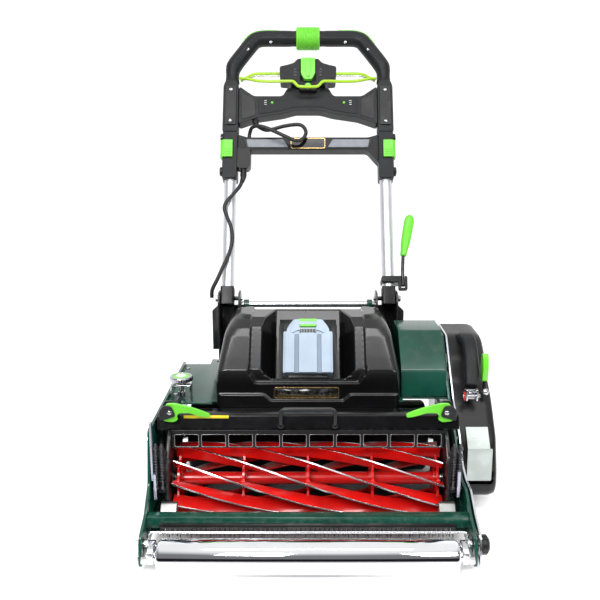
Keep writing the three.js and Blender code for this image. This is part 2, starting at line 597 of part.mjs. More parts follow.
// ---------- cables ----------
function cables(frame) {
  const loop = [
    [-128, -5, 411], [-127, -9, 402], [-119, -20, 388], [-97, -26, 377], [-56, -26, 388], [-19, -26, 391], [-5, -27, 373],
    [-12, -30, 353], [-29, -34, 346], [-55, -37, 356], [-92, -38, 374], [-118, -34, 384], [-135, -22, 386], [-142, -9, 376], [-143, -6, 366],
  ];
  add(frame, 'console_cable', tube(loop, 4.5, 34, 8, 0.5), finish.rubber());
  const drop = [
    [-155, -10, 268.8], [-156, -13, 256], [-163, -20, 234], [-178, -25, 212], [-192, -26, 194], [-197, -25, 178], [-191, -24, 158],
    [-182, -24, 136], [-177, -24, 112], [-178, -24, 88], [-186, -24, 60], [-197, -24, 34], [-209, -22, 6], [-221, -16, -18], [-223, -6, -34],
  ];
  add(frame, 'power_cable', tube(drop, 4.5, 34, 8, 0.5), finish.rubber());
}

sidePlates();
crossMembers();
frontRoller();
rearDrive();
transmission();
reel();
cassette();
hoodAndBattery();
heightKnob();
handleBase();
const handle = handleFrame();
lowerHandle(handle);
upperHandle(handle);
clutchLever(handle);
sideLever();
cables(handle);

mower.updateMatrixWorld(true);
const size = new THREE.Box3().setFromObject(mower, true);
mower.position.set(-(size.min.x + size.max.x) / 2, -(size.min.y + size.max.y) / 2, -size.min.z);

export default mower;
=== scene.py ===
"""Looks for a cordless reel mower: lift-out cutting reel, two rollers, battery hood and folding handle.

Pieces are shaped in millimetres, in one of three workshop frames, and set down in metres in the row frame:
BASE stands on the ground under the front roller's axis, HANDLE leans back along the handle's legs,
and BATTERY lies along the battery's slope. The mower faces -Y and its transmission is at +X.
"""

import json
import logging
import math
from collections.abc import Callable, Iterable, Sequence
from dataclasses import dataclass, field
from enum import Enum
from typing import ClassVar

import bmesh
import bpy
from mathutils import Matrix, Vector
from mathutils.geometry import tessellate_polygon

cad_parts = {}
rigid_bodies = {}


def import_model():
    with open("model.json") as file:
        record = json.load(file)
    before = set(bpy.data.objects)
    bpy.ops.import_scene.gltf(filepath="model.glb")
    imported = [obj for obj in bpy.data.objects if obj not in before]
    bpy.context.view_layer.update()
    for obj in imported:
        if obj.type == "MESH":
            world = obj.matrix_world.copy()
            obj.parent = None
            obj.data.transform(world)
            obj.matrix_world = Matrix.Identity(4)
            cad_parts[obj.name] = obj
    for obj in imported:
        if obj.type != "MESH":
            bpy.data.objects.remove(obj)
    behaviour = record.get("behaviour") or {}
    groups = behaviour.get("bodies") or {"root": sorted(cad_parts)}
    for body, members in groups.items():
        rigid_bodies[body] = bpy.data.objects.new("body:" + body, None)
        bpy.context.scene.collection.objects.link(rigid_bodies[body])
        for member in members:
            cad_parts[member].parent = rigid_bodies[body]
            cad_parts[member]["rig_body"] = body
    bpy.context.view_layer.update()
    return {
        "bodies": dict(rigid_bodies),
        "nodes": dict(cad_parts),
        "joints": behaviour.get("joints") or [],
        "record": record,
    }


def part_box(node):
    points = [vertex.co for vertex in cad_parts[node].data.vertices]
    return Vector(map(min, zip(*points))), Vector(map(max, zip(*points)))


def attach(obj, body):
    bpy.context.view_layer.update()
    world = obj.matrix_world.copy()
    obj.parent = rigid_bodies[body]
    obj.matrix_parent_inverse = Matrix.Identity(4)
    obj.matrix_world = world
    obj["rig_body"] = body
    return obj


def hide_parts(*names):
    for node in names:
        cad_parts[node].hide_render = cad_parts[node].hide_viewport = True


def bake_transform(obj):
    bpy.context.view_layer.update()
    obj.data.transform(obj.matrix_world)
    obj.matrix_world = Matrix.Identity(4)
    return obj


LOG = logging.getLogger("reel_mower")
MM = 0.001
CLOUD_SIZE = 26.0
RUB_SIZE = 9.0
COAT_ROUGHNESS = 0.06

Number = float | int
Flat = tuple[float, float]
Spot = tuple[float, float, float]
Colour = tuple[float, float, float]


# ---------------------------------------------------------------- shader expressions
class Wire:
    """A socket of a node tree that takes part in Python arithmetic."""

    def __init__(self, shader: "Shader", socket: bpy.types.NodeSocket) -> None:
        """Wraps a socket of the shader's tree."""
        self.shader = shader
        self.socket = socket

    def _sum(self, operation: str, first: "Wire | Number | Spot", second: "Wire | Number | Spot") -> "Wire":
        """Adds the Math or Vector Math node for one operation.

        Args:
            operation: the node's operation.
            first: the left-hand value.
            second: the right-hand value.

        Returns:
            The node's result.
        """
        flows = [x.socket.type for x in (first, second) if isinstance(x, Wire)]
        if any(kind in ("VECTOR", "RGBA") for kind in flows):
            values = [x if isinstance(x, (Wire, tuple)) else (x, x, x) for x in (first, second)]
            return self.shader.node("ShaderNodeVectorMath", {"operation": operation},
                                    {0: values[0], 1: values[1]})
        return self.shader.node("ShaderNodeMath", {"operation": operation}, {0: first, 1: second})

    def __add__(self, other: "Wire | Number") -> "Wire":
        """self + other."""
        return self._sum("ADD", self, other)

    def __radd__(self, other: Number) -> "Wire":
        """other + self."""
        return self._sum("ADD", other, self)

    def __sub__(self, other: "Wire | Number") -> "Wire":
        """self - other."""
        return self._sum("SUBTRACT", self, other)

    def __rsub__(self, other: Number) -> "Wire":
        """other - self."""
        return self._sum("SUBTRACT", other, self)

    def __mul__(self, other: "Wire | Number | Spot") -> "Wire":
        """self * other."""
        return self._sum("MULTIPLY", self, other)

    def __rmul__(self, other: Number) -> "Wire":
        """other * self."""
        return self._sum("MULTIPLY", other, self)

    def above(self, edge: float, width: float) -> "Wire":
        """A mask that rises from 0 to 1 as the value climbs from edge to edge + width."""
        settings = {"interpolation_type": "SMOOTHSTEP"}
        return self.shader.node("ShaderNodeMapRange", settings,
                                {0: self, 1: edge, 2: edge + width, 3: 0.0, 4: 1.0})

    def blend(self, low: "Wire | Colour", high: "Wire | Colour") -> "Wire":
        """A colour between low and high, with this value as the factor."""
        inputs = {"Factor_Float": self, "A_Color": low, "B_Color": high}
        return self.shader.node("ShaderNodeMix", {"data_type": "RGBA"}, inputs, "Result_Color")


class Shader:
    """The node tree of a material or a world, with its shader at the end."""

    def __init__(self, owner: bpy.types.Material | bpy.types.World) -> None:
        """Empties the owner's tree and gives it a Principled or Background shader."""
        owner.use_nodes = True
        self.tree = owner.node_tree
        self.tree.nodes.clear()
        kinds = ("BsdfPrincipled", "OutputMaterial") if isinstance(owner, bpy.types.Material) else (
            "Background", "OutputWorld")
        self.surface, output = (self.tree.nodes.new(f"ShaderNode{kind}") for kind in kinds)
        self.tree.links.new(self.surface.outputs[0], output.inputs[0])

    def node(self, kind: str, settings: dict | None = None, inputs: dict | None = None,
             output: int | str = 0) -> Wire:
        """Adds any node.

        Args:
            kind: the node's type.
            settings: its properties, set first; "stops" holds a ramp's positions and colours.
            inputs: values or wires by socket number or identifier.
            output: the number, name or identifier of the output that is wanted.

        Returns:
            That output.
        """
        made = self.tree.nodes.new(kind)
        for key, value in (settings or {}).items():
            if key == "stops":
                self._stops(made.color_ramp, value)
            else:
                setattr(made, key, value)
        for key, value in (inputs or {}).items():
            self._feed(self._socket(made.inputs, key), value)
        return Wire(self, self._socket(made.outputs, output))

    def set(self, name: str, value: Wire | Number | Colour) -> None:
        """Sets or links one input of the Principled shader."""
        self._feed(self.surface.inputs[name], value)

    def _feed(self, socket: bpy.types.NodeSocket, value: Wire | Number | Spot) -> None:
        """Links a wire to a socket, or sets the socket's own value."""
        if isinstance(value, Wire):
            self.tree.links.new(value.socket, socket)
        elif isinstance(value, tuple):
            socket.default_value = value if socket.type == "VECTOR" else (*value, 1.0)
        else:
            socket.default_value = value

    @staticmethod
    def _socket(sockets: Iterable, key: int | str) -> bpy.types.NodeSocket:
        """The socket with that number, identifier or name."""
        listed = list(sockets)
        if isinstance(key, int):
            return listed[key]
        return next(s for s in listed if key in (s.identifier, s.name))

    @staticmethod
    def _stops(ramp: bpy.types.ColorRamp, stops: Sequence[tuple[float, Colour]]) -> None:
        """Sets a colour ramp's stops."""
        while len(ramp.elements) < len(stops):
            ramp.elements.new(1.0)
        for element, (position, colour) in zip(ramp.elements, stops):
            element.position = position
            element.color = (*colour, 1.0)


# ---------------------------------------------------------------- finishes
class Grain(Enum):
    """How a surface's fine texture lies; the value is its stretch along X, Y and Z."""

    EVEN = (1.0, 1.0, 1.0)
    ALONG_X = (0.03, 1.0, 1.0)
    ALONG_Y = (1.0, 0.03, 1.0)
    ALONG_Z = (1.0, 1.0, 0.03)
    UP_HANDLE = (1.0, 1.0, 0.035)
    ROUND_X = (1.0, 0.05, 0.05)


@dataclass(frozen=True)
class Finish:
    """A surface finish: its colour, its gloss, and the grain, drift, grime and wear that break it up.

    Sizes are in millimetres. Colours are linear.
    """

    name: str
    colour: Colour
    roughness: float
    metallic: float = 0.0
    coat: float = 0.0
    specular: float = 0.5
    grain: Grain = Grain.EVEN
    grain_size: float = 0.9
    relief: float = 0.02
    rough_drift: float = 0.12
    drift: float = 0.15
    drift_size: float = 70.0
    wear: float = 0.0
    wear_colour: Colour = (0.45, 0.46, 0.47)
    dust: float = 0.12
    dust_colour: Colour = (0.33, 0.31, 0.27)
    glow: float = 0.0
    made: dict = field(default_factory=dict, compare=False, hash=False, repr=False)

    def coordinates(self, shader: Shader) -> Wire:
        """Object coordinates, turned to lie up the handle where the grain does."""
        spots = shader.node("ShaderNodeTexCoord", output="Object")
        if self.grain is Grain.UP_HANDLE:
            spots = shader.node("ShaderNodeMapping", inputs={"Vector": spots, "Rotation": (LEAN, 0.0, 0.0)})
        return spots

    def noise(self, shader: Shader, spots: Wire, size: float, detail: float = 3.0) -> Wire:
        """Soft noise whose lumps are size millimetres across."""
        inputs = {"Vector": spots, "Scale": 1.0 / (size * MM), "Detail": detail, "Roughness": 0.55}
        return shader.node("ShaderNodeTexNoise", None, inputs)

    def base(self, shader: Shader, spots: Wire) -> Wire:
        """The clean colour, drifting a little from place to place."""
        dark = tuple(c * (1 - self.drift) for c in self.colour)
        light = tuple(min(1.0, c * (1 + self.drift) + 0.004 * self.drift) for c in self.colour)
        return self.noise(shader, spots, self.drift_size).above(0.3, 0.4).blend(dark, light)

    def material(self) -> bpy.types.Material:
        """The finish's material, made on first use."""
        if "material" not in self.made:
            self.made["material"] = bpy.data.materials.new(self.name)
            self.dress(Shader(self.made["material"]))
        return self.made["material"]

    def dress(self, shader: Shader) -> None:
        """Builds the node tree."""
        spots = self.coordinates(shader)
        grain = self.noise(shader, spots * self.grain.value, self.grain_size, 2.0)
        colour = self.base(shader, spots)
        colour = (grain * 0.22 + 0.89) * colour if self.metallic < 0.5 else colour
        cloud = self.noise(shader, spots, CLOUD_SIZE, 4.0)
        rough = (cloud - 0.5) * (self.rough_drift * 2) + (grain - 0.5) * self.rough_drift + self.roughness
        if self.dust > 0:
            settled = self._dust(shader, cloud)
            colour = settled.blend(colour, self.dust_colour)
            rough = rough + settled * 0.3
        if self.wear > 0:
            worn = self._wear(shader, spots)
            colour = worn.blend(colour, self.wear_colour)
            rough = rough + worn * 0.1
        shader.set("Base Color", colour)
        shader.set("Roughness", rough)
        shader.set("Metallic", self.metallic)
        shader.set("Coat Weight", self.coat)
        shader.set("Coat Roughness", COAT_ROUGHNESS)
        shader.set("Specular IOR Level", self.specular)
        shader.set("Normal", self._bump(shader, grain))
        if self.glow > 0:
            shader.set("Emission Color", self.colour)
            shader.set("Emission Strength", self.glow)

    def _dust(self, shader: Shader, cloud: Wire) -> Wire:
        """Where dust lies: on upward faces, in patches."""
        normal = shader.node("ShaderNodeNewGeometry", output="Normal")
        up = shader.node("ShaderNodeSeparateXYZ", None, {0: normal}, "Z")
        return up.above(0.2, 0.8) * cloud.above(0.42, 0.4) * self.dust

    def _wear(self, shader: Shader, spots: Wire) -> Wire:
        """Where the surface is rubbed through: on sharp outer edges, in patches."""
        edge = shader.node("ShaderNodeNewGeometry", output="Pointiness")
        patches = self.noise(shader, spots, RUB_SIZE, 4.0).above(0.42, 0.25)
        return edge.above(0.53, 0.12) * patches * self.wear

    def _bump(self, shader: Shader, grain: Wire) -> Wire:
        """The normal, roughened by the grain."""
        inputs = {"Height": grain, "Distance": self.relief * MM, "Strength": 1.0}
        return shader.node("ShaderNodeBump", None, inputs)


@dataclass(frozen=True)
class GroundEdge(Finish):
    """Paint that has been ground back to bright steel beyond a distance from a shaft along X."""

    shaft: Flat = (0.0, 0.0)
    reach: float = 0.0

    def dress(self, shader: Shader) -> None:
        """Builds the painted tree, then bares the steel at the rim."""
        super().dress(shader)
        centre = BASE @ Vector((0.0, *self.shaft))
        spots = shader.node("ShaderNodeTexCoord", output="Object")
        outward = (spots - (centre.x, centre.y, centre.z)) * (0.0, 1.0, 1.0)
        distance = shader.node("ShaderNodeVectorMath", {"operation": "LENGTH"}, {0: outward}, "Value")
        bare = distance.above(self.reach * MM, 0.0003)
        streaks = self.noise(shader, spots * (0.04, 1.0, 1.0), 0.4)
        paint = Wire(shader, shader.surface.inputs["Base Color"].links[0].from_socket)
        steel = streaks.blend((0.62, 0.63, 0.65), (0.95, 0.96, 0.98))
        shader.set("Base Color", bare.blend(paint, steel))
        shader.set("Metallic", bare)
        shader.set("Roughness", (1 - bare) * self.roughness + bare * 0.2)


@dataclass(frozen=True)
class Ruled(Finish):
    """A finish crossed by evenly spaced lines of a second colour, square to one axis."""

    line_colour: Colour = (0.0, 0.0, 0.0)
    pitch: float = 5.0
    line: float = 0.5
    axis: str = "X"

    def base(self, shader: Shader, spots: Wire) -> Wire:
        """The drifting colour with the lines on it."""
        plain = super().base(shader, spots)
        along = shader.node("ShaderNodeSeparateXYZ", None, {0: spots}, self.axis)
        turn = shader.node("ShaderNodeMath", {"operation": "FRACT"}, {0: along * (1 / (self.pitch * MM))})
        return turn.above(1 - self.line, 0.05).blend(plain, self.line_colour)


@dataclass(frozen=True)
class PaleFloor(Finish):
    """A pale studio floor, painted grey well in front of the mower as a dark area for the chrome to
    reflect, and painted grey under the mower as painted shade.
    """

    edge: float = -0.56
    fall: float = 0.3
    painted_dark_colour: Colour = (0.24, 0.24, 0.245)
    shade_middle: float = 285.0
    shade_stretch: Spot = (3.1, 3.35, 0.0)
    shade_edge: float = 0.8
    shade_fall: float = 0.35

    def dress(self, shader: Shader) -> None:
        """Builds the plain tree, then paints the far part grey as a dark area for reflections and the part
        under the mower grey as painted shade.
        """
        super().dress(shader)
        spots = shader.node("ShaderNodeTexCoord", output="Object")
        depth = shader.node("ShaderNodeSeparateXYZ", None, {0: spots}, "Y")
        near = depth.above(self.edge - self.fall, self.fall)
        plain = Wire(shader, shader.surface.inputs["Base Color"].links[0].from_socket)
        middle = BASE @ Vector((0.0, self.shade_middle, 0.0))
        across = (spots - (middle.x, middle.y, 0.0)) * self.shade_stretch
        distance = shader.node("ShaderNodeVectorMath", {"operation": "LENGTH"}, {0: across}, "Value")
        beyond = distance.above(self.shade_edge, self.shade_fall)
        # Painted shade: grey base colour and no glow under the mower; a painted dark area well in front of
        # it.
        shader.set("Base Color", (near * beyond).blend(self.painted_dark_colour, plain))
        shader.set("Emission Color", (near * beyond).blend((0.0, 0.0, 0.0), self.colour))


GREEN = Finish("green gloss paint", (0.004, 0.056, 0.036), 0.22, coat=0.2, specular=0.4, grain_size=1.6,
               relief=0.008, rough_drift=0.06, wear=0.3, dust=0.08)
BLACK_PAINT = Finish("black satin paint", (0.008, 0.008, 0.009), 0.34, coat=0.15, grain_size=0.8,
                     relief=0.02, wear=0.25, dust=0.04)
GLOSS_BLACK = Finish("gloss black paint", (0.007, 0.007, 0.008), 0.14, coat=0.7, grain_size=2.2,
                     relief=0.006, rough_drift=0.04, wear=0.2, dust=0.01)
HOOD_BLACK = Finish("vacuum-formed black", (0.004, 0.004, 0.0045), 0.25, coat=0.2, grain_size=0.8,
                    relief=0.004, rough_drift=0.03, dust=0.01)
LID_BLACK = Finish("satin black steel", (0.0025, 0.0025, 0.003), 0.16, specular=0.3, grain_size=1.2,
                   relief=0.006, wear=0.15, dust=0.0)
CHARCOAL = Finish("charcoal moulding", (0.0075, 0.008, 0.0095), 0.44, specular=0.3, grain_size=0.55,
                  relief=0.04, dust=0.03)
COVER_BLACK = Finish("textured black moulding", (0.0055, 0.0055, 0.006), 0.36, specular=0.35,
                     grain_size=0.7, relief=0.035, dust=0.03)
GRIP = Finish("soft-touch grip", (0.0085, 0.009, 0.0105), 0.48, specular=0.3, grain_size=0.4, relief=0.05,
              drift=0.1, dust=0.05)
RUBBER = Finish("rubber sheath", (0.008, 0.008, 0.009), 0.48, grain_size=0.6, relief=0.03, dust=0.14)
DRIVE_RUBBER = Finish("drive roller rubber", (0.012, 0.012, 0.013), 0.7, grain_size=1.2, relief=0.1,
                      dust=0.5, dust_colour=(0.09, 0.085, 0.05))
BRISTLE = Finish("brush bristle", (0.009, 0.009, 0.009), 0.6, grain_size=0.3, relief=0.03, dust=0.25)
LIME = Finish("lime moulding", (0.15, 0.66, 0.03), 0.32, coat=0.2, grain_size=0.6, relief=0.03, drift=0.07,
              dust=0.05)
LIME_SOFT = Finish("lime soft moulding", (0.17, 0.66, 0.04), 0.5, grain_size=0.5, relief=0.05, drift=0.08,
                   dust=0.06)
LIME_WIRE = Finish("lime dipped wire", (0.42, 0.72, 0.02), 0.3, coat=0.35, grain_size=0.8, relief=0.02,
                   drift=0.08)
CHROME = Finish("chrome", (0.86, 0.87, 0.89), 0.045, 1.0, grain_size=1.5, relief=0.0015, rough_drift=0.03,
                drift=0.03, dust=0.04)
ROLLER_CHROME = Finish("roller chrome", (0.9, 0.91, 0.93), 0.05, 1.0, grain=Grain.ROUND_X, grain_size=0.9,
                       relief=0.002, rough_drift=0.035, drift=0.03, dust=0.03)
STEEL = Finish("zinc-plated steel", (0.66, 0.67, 0.69), 0.24, 1.0, grain=Grain.ALONG_Y, grain_size=0.8,
               relief=0.008, drift=0.1, dust=0.08)
BRUSHED = Finish("brushed steel plate", (0.74, 0.76, 0.8), 0.2, 1.0, grain=Grain.ALONG_Z, grain_size=0.6,
                 relief=0.006, drift=0.08, drift_size=45.0, dust=0.06)
ADJUSTER = Finish("oiled adjuster steel", (0.1, 0.1, 0.11), 0.32, 0.9, grain_size=0.7, relief=0.01,
                  drift=0.3, drift_size=7.0, dust=0.06)
PLATE = Finish("window plate", (0.44, 0.48, 0.46), 0.34, 0.85, grain=Grain.ALONG_Z, grain_size=0.6,
               relief=0.006, drift=0.12, drift_size=45.0, dust=0.06)
FASTENER = Finish("bright fastener", (0.5, 0.51, 0.53), 0.22, 1.0, grain_size=0.7, relief=0.01, drift=0.12,
                  drift_size=9.0, dust=0.04)
CAST = Finish("cast alloy", (0.34, 0.34, 0.33), 0.45, 1.0, grain_size=1.1, relief=0.12, drift=0.14,
              dust=0.14)
ALUMINIUM = Finish("satin aluminium", (0.7, 0.72, 0.75), 0.4, 0.8, grain=Grain.UP_HANDLE, grain_size=0.5,
                   relief=0.006, drift=0.05, dust=0.04)
BATTERY_SHELL = Finish("battery shell", (0.36, 0.45, 0.55), 0.4, coat=0.1, grain_size=0.6, relief=0.03,
                       drift=0.06, dust=0.08)
BATTERY_GROOVE = Finish("battery groove", (0.19, 0.25, 0.32), 0.45, grain_size=0.6, relief=0.03, drift=0.08)
GOLD = Finish("gilt frame", (0.62, 0.42, 0.17), 0.26, 0.9, grain_size=0.5, relief=0.01, drift=0.1,
              drift_size=8.0)
STICKER = Finish("yellow sticker", (0.88, 0.7, 0.03), 0.4, grain_size=0.7, relief=0.01, drift=0.06,
                 dust=0.1)
LABEL = Finish("silver label", (0.2, 0.215, 0.24), 0.4, 0.2, grain=Grain.ALONG_X, grain_size=0.4,
               relief=0.004, drift=0.08, drift_size=20.0)
WHITE = Finish("white moulding", (0.75, 0.78, 0.76), 0.4, grain_size=0.7, relief=0.02, drift=0.06,
               dust=0.06)
RED_PLASTIC = Finish("red spring sleeve", (0.55, 0.03, 0.02), 0.4, grain_size=0.6, relief=0.03)
LAVENDER = Finish("plated adjuster bar", (0.42, 0.43, 0.52), 0.3, 0.8, grain=Grain.ALONG_Z, grain_size=0.5,
                  relief=0.01, drift=0.12)
LAMP = Ruled("charge lights", (0.02, 0.02, 0.022), 0.3, grain_size=0.6, line_colour=(0.25, 0.27, 0.26),
             pitch=6.0, line=0.3)
REEL_RED = GroundEdge("red reel paint", (0.68, 0.008, 0.006), 0.24, coat=0.4, grain_size=1.2, relief=0.02,
                      rough_drift=0.08, drift=0.12, dust=0.04, shaft=(187.0, 91.0), reach=68.9)


# ---------------------------------------------------------------- workshop frames
LEAN = math.radians(26.26)
SLOPE = math.radians(40.4)
BASE = Matrix()
HANDLE = Matrix()
BATTERY = Matrix()


def set_frames() -> None:
    """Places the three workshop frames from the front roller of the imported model."""
    low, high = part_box("front_roller")
    ground = Vector(((low.x + high.x) / 2, (low.y + high.y) / 2, 0.0))
    scale = Matrix.Diagonal((MM, MM, MM, 1.0))
    BASE[:] = Matrix.Translation(ground) @ scale
    HANDLE[:] = BASE @ Matrix.Translation((0.0, 563.2, 402.2)) @ Matrix.Rotation(-LEAN, 4, "X")
    BATTERY[:] = BASE @ Matrix.Translation((0.0, 300.0, 271.0)) @ Matrix.Rotation(-SLOPE, 4, "X")


# ---------------------------------------------------------------- shapes
class Solid:
    """Vertices and faces of one or more closed shells, in a workshop frame's millimetres."""

    def __init__(self, points: Iterable[Sequence[float]] = (), faces: Iterable[Sequence[int]] = ()) -> None:
        """Takes points and the faces that join them."""
        self.points = [Vector(p) for p in points]
        self.faces = [tuple(f) for f in faces]

    def __add__(self, other: "Solid") -> "Solid":
        """Both shells in one solid."""
        shift = len(self.points)
        moved = [tuple(i + shift for i in face) for face in other.faces]
        return Solid([*self.points, *other.points], [*self.faces, *moved])

    def moved(self, matrix: Matrix) -> "Solid":
        """A copy carried by a matrix, turned inside out if the matrix mirrors."""
        faces = [tuple(reversed(f)) for f in self.faces] if matrix.determinant() < 0 else self.faces
        return Solid([matrix @ p for p in self.points], faces)

    def shifted(self, x: float = 0.0, y: float = 0.0, z: float = 0.0) -> "Solid":
        """A copy moved by x, y and z."""
        return self.moved(Matrix.Translation((x, y, z)))

    def mirrored(self) -> "Solid":
        """The left-hand copy of a right-hand solid."""
        return self.moved(Matrix.Diagonal((-1.0, 1.0, 1.0, 1.0)))

    def bent(self, move: Callable[[Vector], Vector]) -> "Solid":
        """A copy with each point moved by a function."""
        return Solid([move(p) for p in self.points], self.faces)


def together(solids: Iterable[Solid]) -> Solid:
    """All the solids' shells in one solid."""
    whole = Solid()
    for solid in solids:
        shift = len(whole.points)
        whole.points += solid.points
        whole.faces += [tuple(i + shift for i in face) for face in solid.faces]
    return whole


def both_sides(solid: Solid) -> Solid:
    """A solid and its mirror image."""
    return solid + solid.mirrored()


def rounded(corners: Sequence[Sequence[float]], radius: float, steps: int = 4) -> list[Flat]:
    """An outline with each corner rounded.

    Args:
        corners: the outline's corners in order.
        radius: how far from a corner the curve may start.
        steps: the number of segments in each curve.

    Returns:
        The points of the rounded outline.
    """
    if radius <= 0:
        return [tuple(c) for c in corners]
    found: list[Flat] = []
    for i, raw in enumerate(corners):
        corner, before, after = Vector(raw), Vector(corners[i - 1]), Vector(corners[(i + 1) % len(corners)])
        reach = min(radius, (corner - before).length * 0.49, (corner - after).length * 0.49)
        start = corner + (before - corner).normalized() * reach
        end = corner + (after - corner).normalized() * reach
        for k in range(steps + 1):
            t = k / steps
            spot = start * (1 - t) ** 2 + corner * 2 * t * (1 - t) + end * t**2
            found.append((spot.x, spot.y))
    return found


def circle(radius: float, sides: int = 24, centre: Flat = (0.0, 0.0)) -> list[Flat]:
    """The points of a circle."""
    turns = [2 * math.pi * k / sides for k in range(sides)]
    return [(centre[0] + radius * math.cos(a), centre[1] + radius * math.sin(a)) for a in turns]


def rectangle(x0: float, x1: float, y0: float, y1: float) -> list[Flat]:
    """The four corners of a rectangle."""
    return [(x0, y0), (x1, y0), (x1, y1), (x0, y1)]


AXES = {
    "X": Matrix(((0, 0, 1, 0), (1, 0, 0, 0), (0, 1, 0, 0), (0, 0, 0, 1))),
    "Y": Matrix(((1, 0, 0, 0), (0, 0, -1, 0), (0, 1, 0, 0), (0, 0, 0, 1))),
    "Z": Matrix.Identity(4),
}


def prism(shape: Sequence[Flat], low: float, high: float, axis: str,
          holes: Sequence[Sequence[Flat]] = ()) -> Solid:
    """A solid with one outline all the way through it.

    Args:
        shape: the outline, in (y, z) along X, (x, z) along Y and (x, y) along Z.
        low: where it starts along the axis.
        high: where it ends along the axis.
        axis: "X", "Y" or "Z".
        holes: outlines that are cut through it.

    Returns:
        The solid.
    """
    loops = [list(shape), *[list(h) for h in holes]]
    flat = [p for loop in loops for p in loop]
    area = sum(a[0] * b[1] - b[0] * a[1] for a, b in zip(shape, [*shape[1:], shape[0]]))
    if area < 0:
        loops[0].reverse()
        flat = [p for loop in loops for p in loop]
    count = len(flat)
    if holes:
        caps = [tuple(t) for t in tessellate_polygon([[Vector((*p, 0.0)) for p in loop] for loop in loops])]
        caps = [t if _turns_left([flat[i] for i in t]) else t[::-1] for t in caps]
    else:
        caps = [tuple(range(count))]
    faces = [tuple(reversed(c)) for c in caps] + [tuple(i + count for i in c) for c in caps]
    start = 0
    for number, loop in enumerate(loops):
        outward = _turns_left(loop) == (number == 0)
        for k in range(len(loop)):
            a, b = start + k, start + (k + 1) % len(loop)
            side = (a, b, b + count, a + count)
            faces.append(side if outward else side[::-1])
        start += len(loop)
    ends = (low, high) if axis != "Y" else (-high, -low)
    points = [(x, y, end) for end in ends for x, y in flat]
    return Solid(points, faces).moved(AXES[axis])


def _turns_left(loop: Sequence[Flat]) -> bool:
    """True if a loop runs anticlockwise."""
    return sum(a[0] * b[1] - b[0] * a[1] for a, b in zip(loop, [*loop[1:], loop[0]])) > 0


def block(x: Flat, y: Flat, z: Flat, radius: float = 0.0, axis: str = "Z") -> Solid:
    """A box between pairs of coordinates, its four edges along axis rounded."""
    spans = {"X": (y, z, x), "Y": (x, z, y), "Z": (x, y, z)}[axis]
    return prism(rounded(rectangle(*spans[0], *spans[1]), radius), *spans[2], axis)


def rod(radius: float, low: float, high: float, axis: str, centre: Flat, sides: int = 28) -> Solid:
    """A round bar along an axis."""
    return prism(circle(radius, sides, centre), low, high, axis)


def turned(profile: Sequence[Flat], axis: str, centre: Flat, sides: int = 48) -> Solid:
    """A closed ring or knob turned about an axis.

    Args:
        profile: (radius, place along the axis) pairs, in order round the section.
        axis: "X", "Y" or "Z".
        centre: where the axis is.
        sides: the number of facets.

    Returns:
        The solid.
    """
    count = len(profile)
    points, faces = [], []
    for k in range(sides):
        a = 2 * math.pi * k / sides
        points += [(r * math.cos(a), r * math.sin(a), h) for r, h in profile]
        for i in range(count):
            j, nxt = (i + 1) % count, (k + 1) % sides
            faces.append((k * count + i, nxt * count + i, nxt * count + j, k * count + j))
    ring = Solid(points, faces)
    placed = {"X": (0.0, *centre), "Y": (centre[0], 0.0, centre[1]), "Z": (*centre, 0.0)}[axis]
    turn = AXES[axis] if axis != "Y" else AXES["Y"] @ Matrix.Diagonal((1.0, 1.0, -1.0, 1.0))
    return ring.moved(Matrix.Translation(placed) @ turn)


def bowed(points: Sequence[Sequence[float]], per: int = 6, pull: float = 0.5) -> list[Vector]:
    """A smooth line through points.

    Args:
        points: the points that it passes through.
        per: the number of segments between two points.
        pull: how far it swings; 0 is straight, 0.5 is the usual curve.

    Returns:
        The points of the line.
    """
    spots = [Vector(p) for p in points]
    ends = [spots[0] * 2 - spots[1], *spots, spots[-1] * 2 - spots[-2]]
    found = []
    for i in range(1, len(ends) - 2):
        a, b, c, d = ends[i - 1 : i + 3]
        leave, arrive = (c - a) * pull, (d - b) * pull
        for k in range(per):
            t = k / per
            found.append(
                b * (2 * t**3 - 3 * t**2 + 1) + leave * (t**3 - 2 * t**2 + t)
                + c * (3 * t**2 - 2 * t**3) + arrive * (t**3 - t**2)
            )
    return [*found, spots[-1]]


def bent_bar(points: Sequence[Sequence[float]], radius: float, steps: int = 6) -> list[Vector]:
    """A straight-sided line whose corners are bent to a radius, as a bar is bent in a jig."""
    spots = [Vector(p) for p in points]
    found = [spots[0]]
    for before, corner, after in zip(spots, spots[1:], spots[2:]):
        reach = min(radius, (corner - before).length * 0.48, (after - corner).length * 0.48)
        start = corner + (before - corner).normalized() * reach
        end = corner + (after - corner).normalized() * reach
        for k in range(steps + 1):
            t = k / steps
            found.append(start * (1 - t) ** 2 + corner * 2 * t * (1 - t) + end * t**2)
    return [*found, spots[-1]]


def swept(path: Sequence[Vector], section: Sequence[Flat] | float, sizes: Sequence[float] | None = None,
          across: Spot | None = None, sides: int = 14) -> Solid:
    """A solid whose section runs along a line.

    Args:
        path: the line.
        section: the section's outline, or a round bar's radius.
        sizes: the section's scale at each point of the line.
        across: the direction that the section's first axis keeps close to.
        sides: the number of facets of a round section.

    Returns:
        The solid.
    """
    outline = circle(section, sides) if isinstance(section, (int, float)) else list(section)
    count = len(outline)
    points: list[Vector] = []
    side = Vector(across) if across else None
    for i, spot in enumerate(path):
        ahead = (path[min(i + 1, len(path) - 1)] - path[max(i - 1, 0)]).normalized()
        if side is None:
            side = ahead.orthogonal()
        reference = Vector(across) if across else side
        side = (reference - ahead * reference.dot(ahead)).normalized()
        up = ahead.cross(side)
        scale = sizes[i] if sizes else 1.0
        points += [spot + side * (x * scale) + up * (y * scale) for x, y in outline]
    faces = []
    for i in range(len(path) - 1):
        for k in range(count):
            a, b = i * count + k, i * count + (k + 1) % count
            faces.append((a, b, b + count, a + count))
    last = (len(path) - 1) * count
    faces += [tuple(reversed(range(count))), tuple(last + k for k in range(count))]
    return Solid(points, faces)


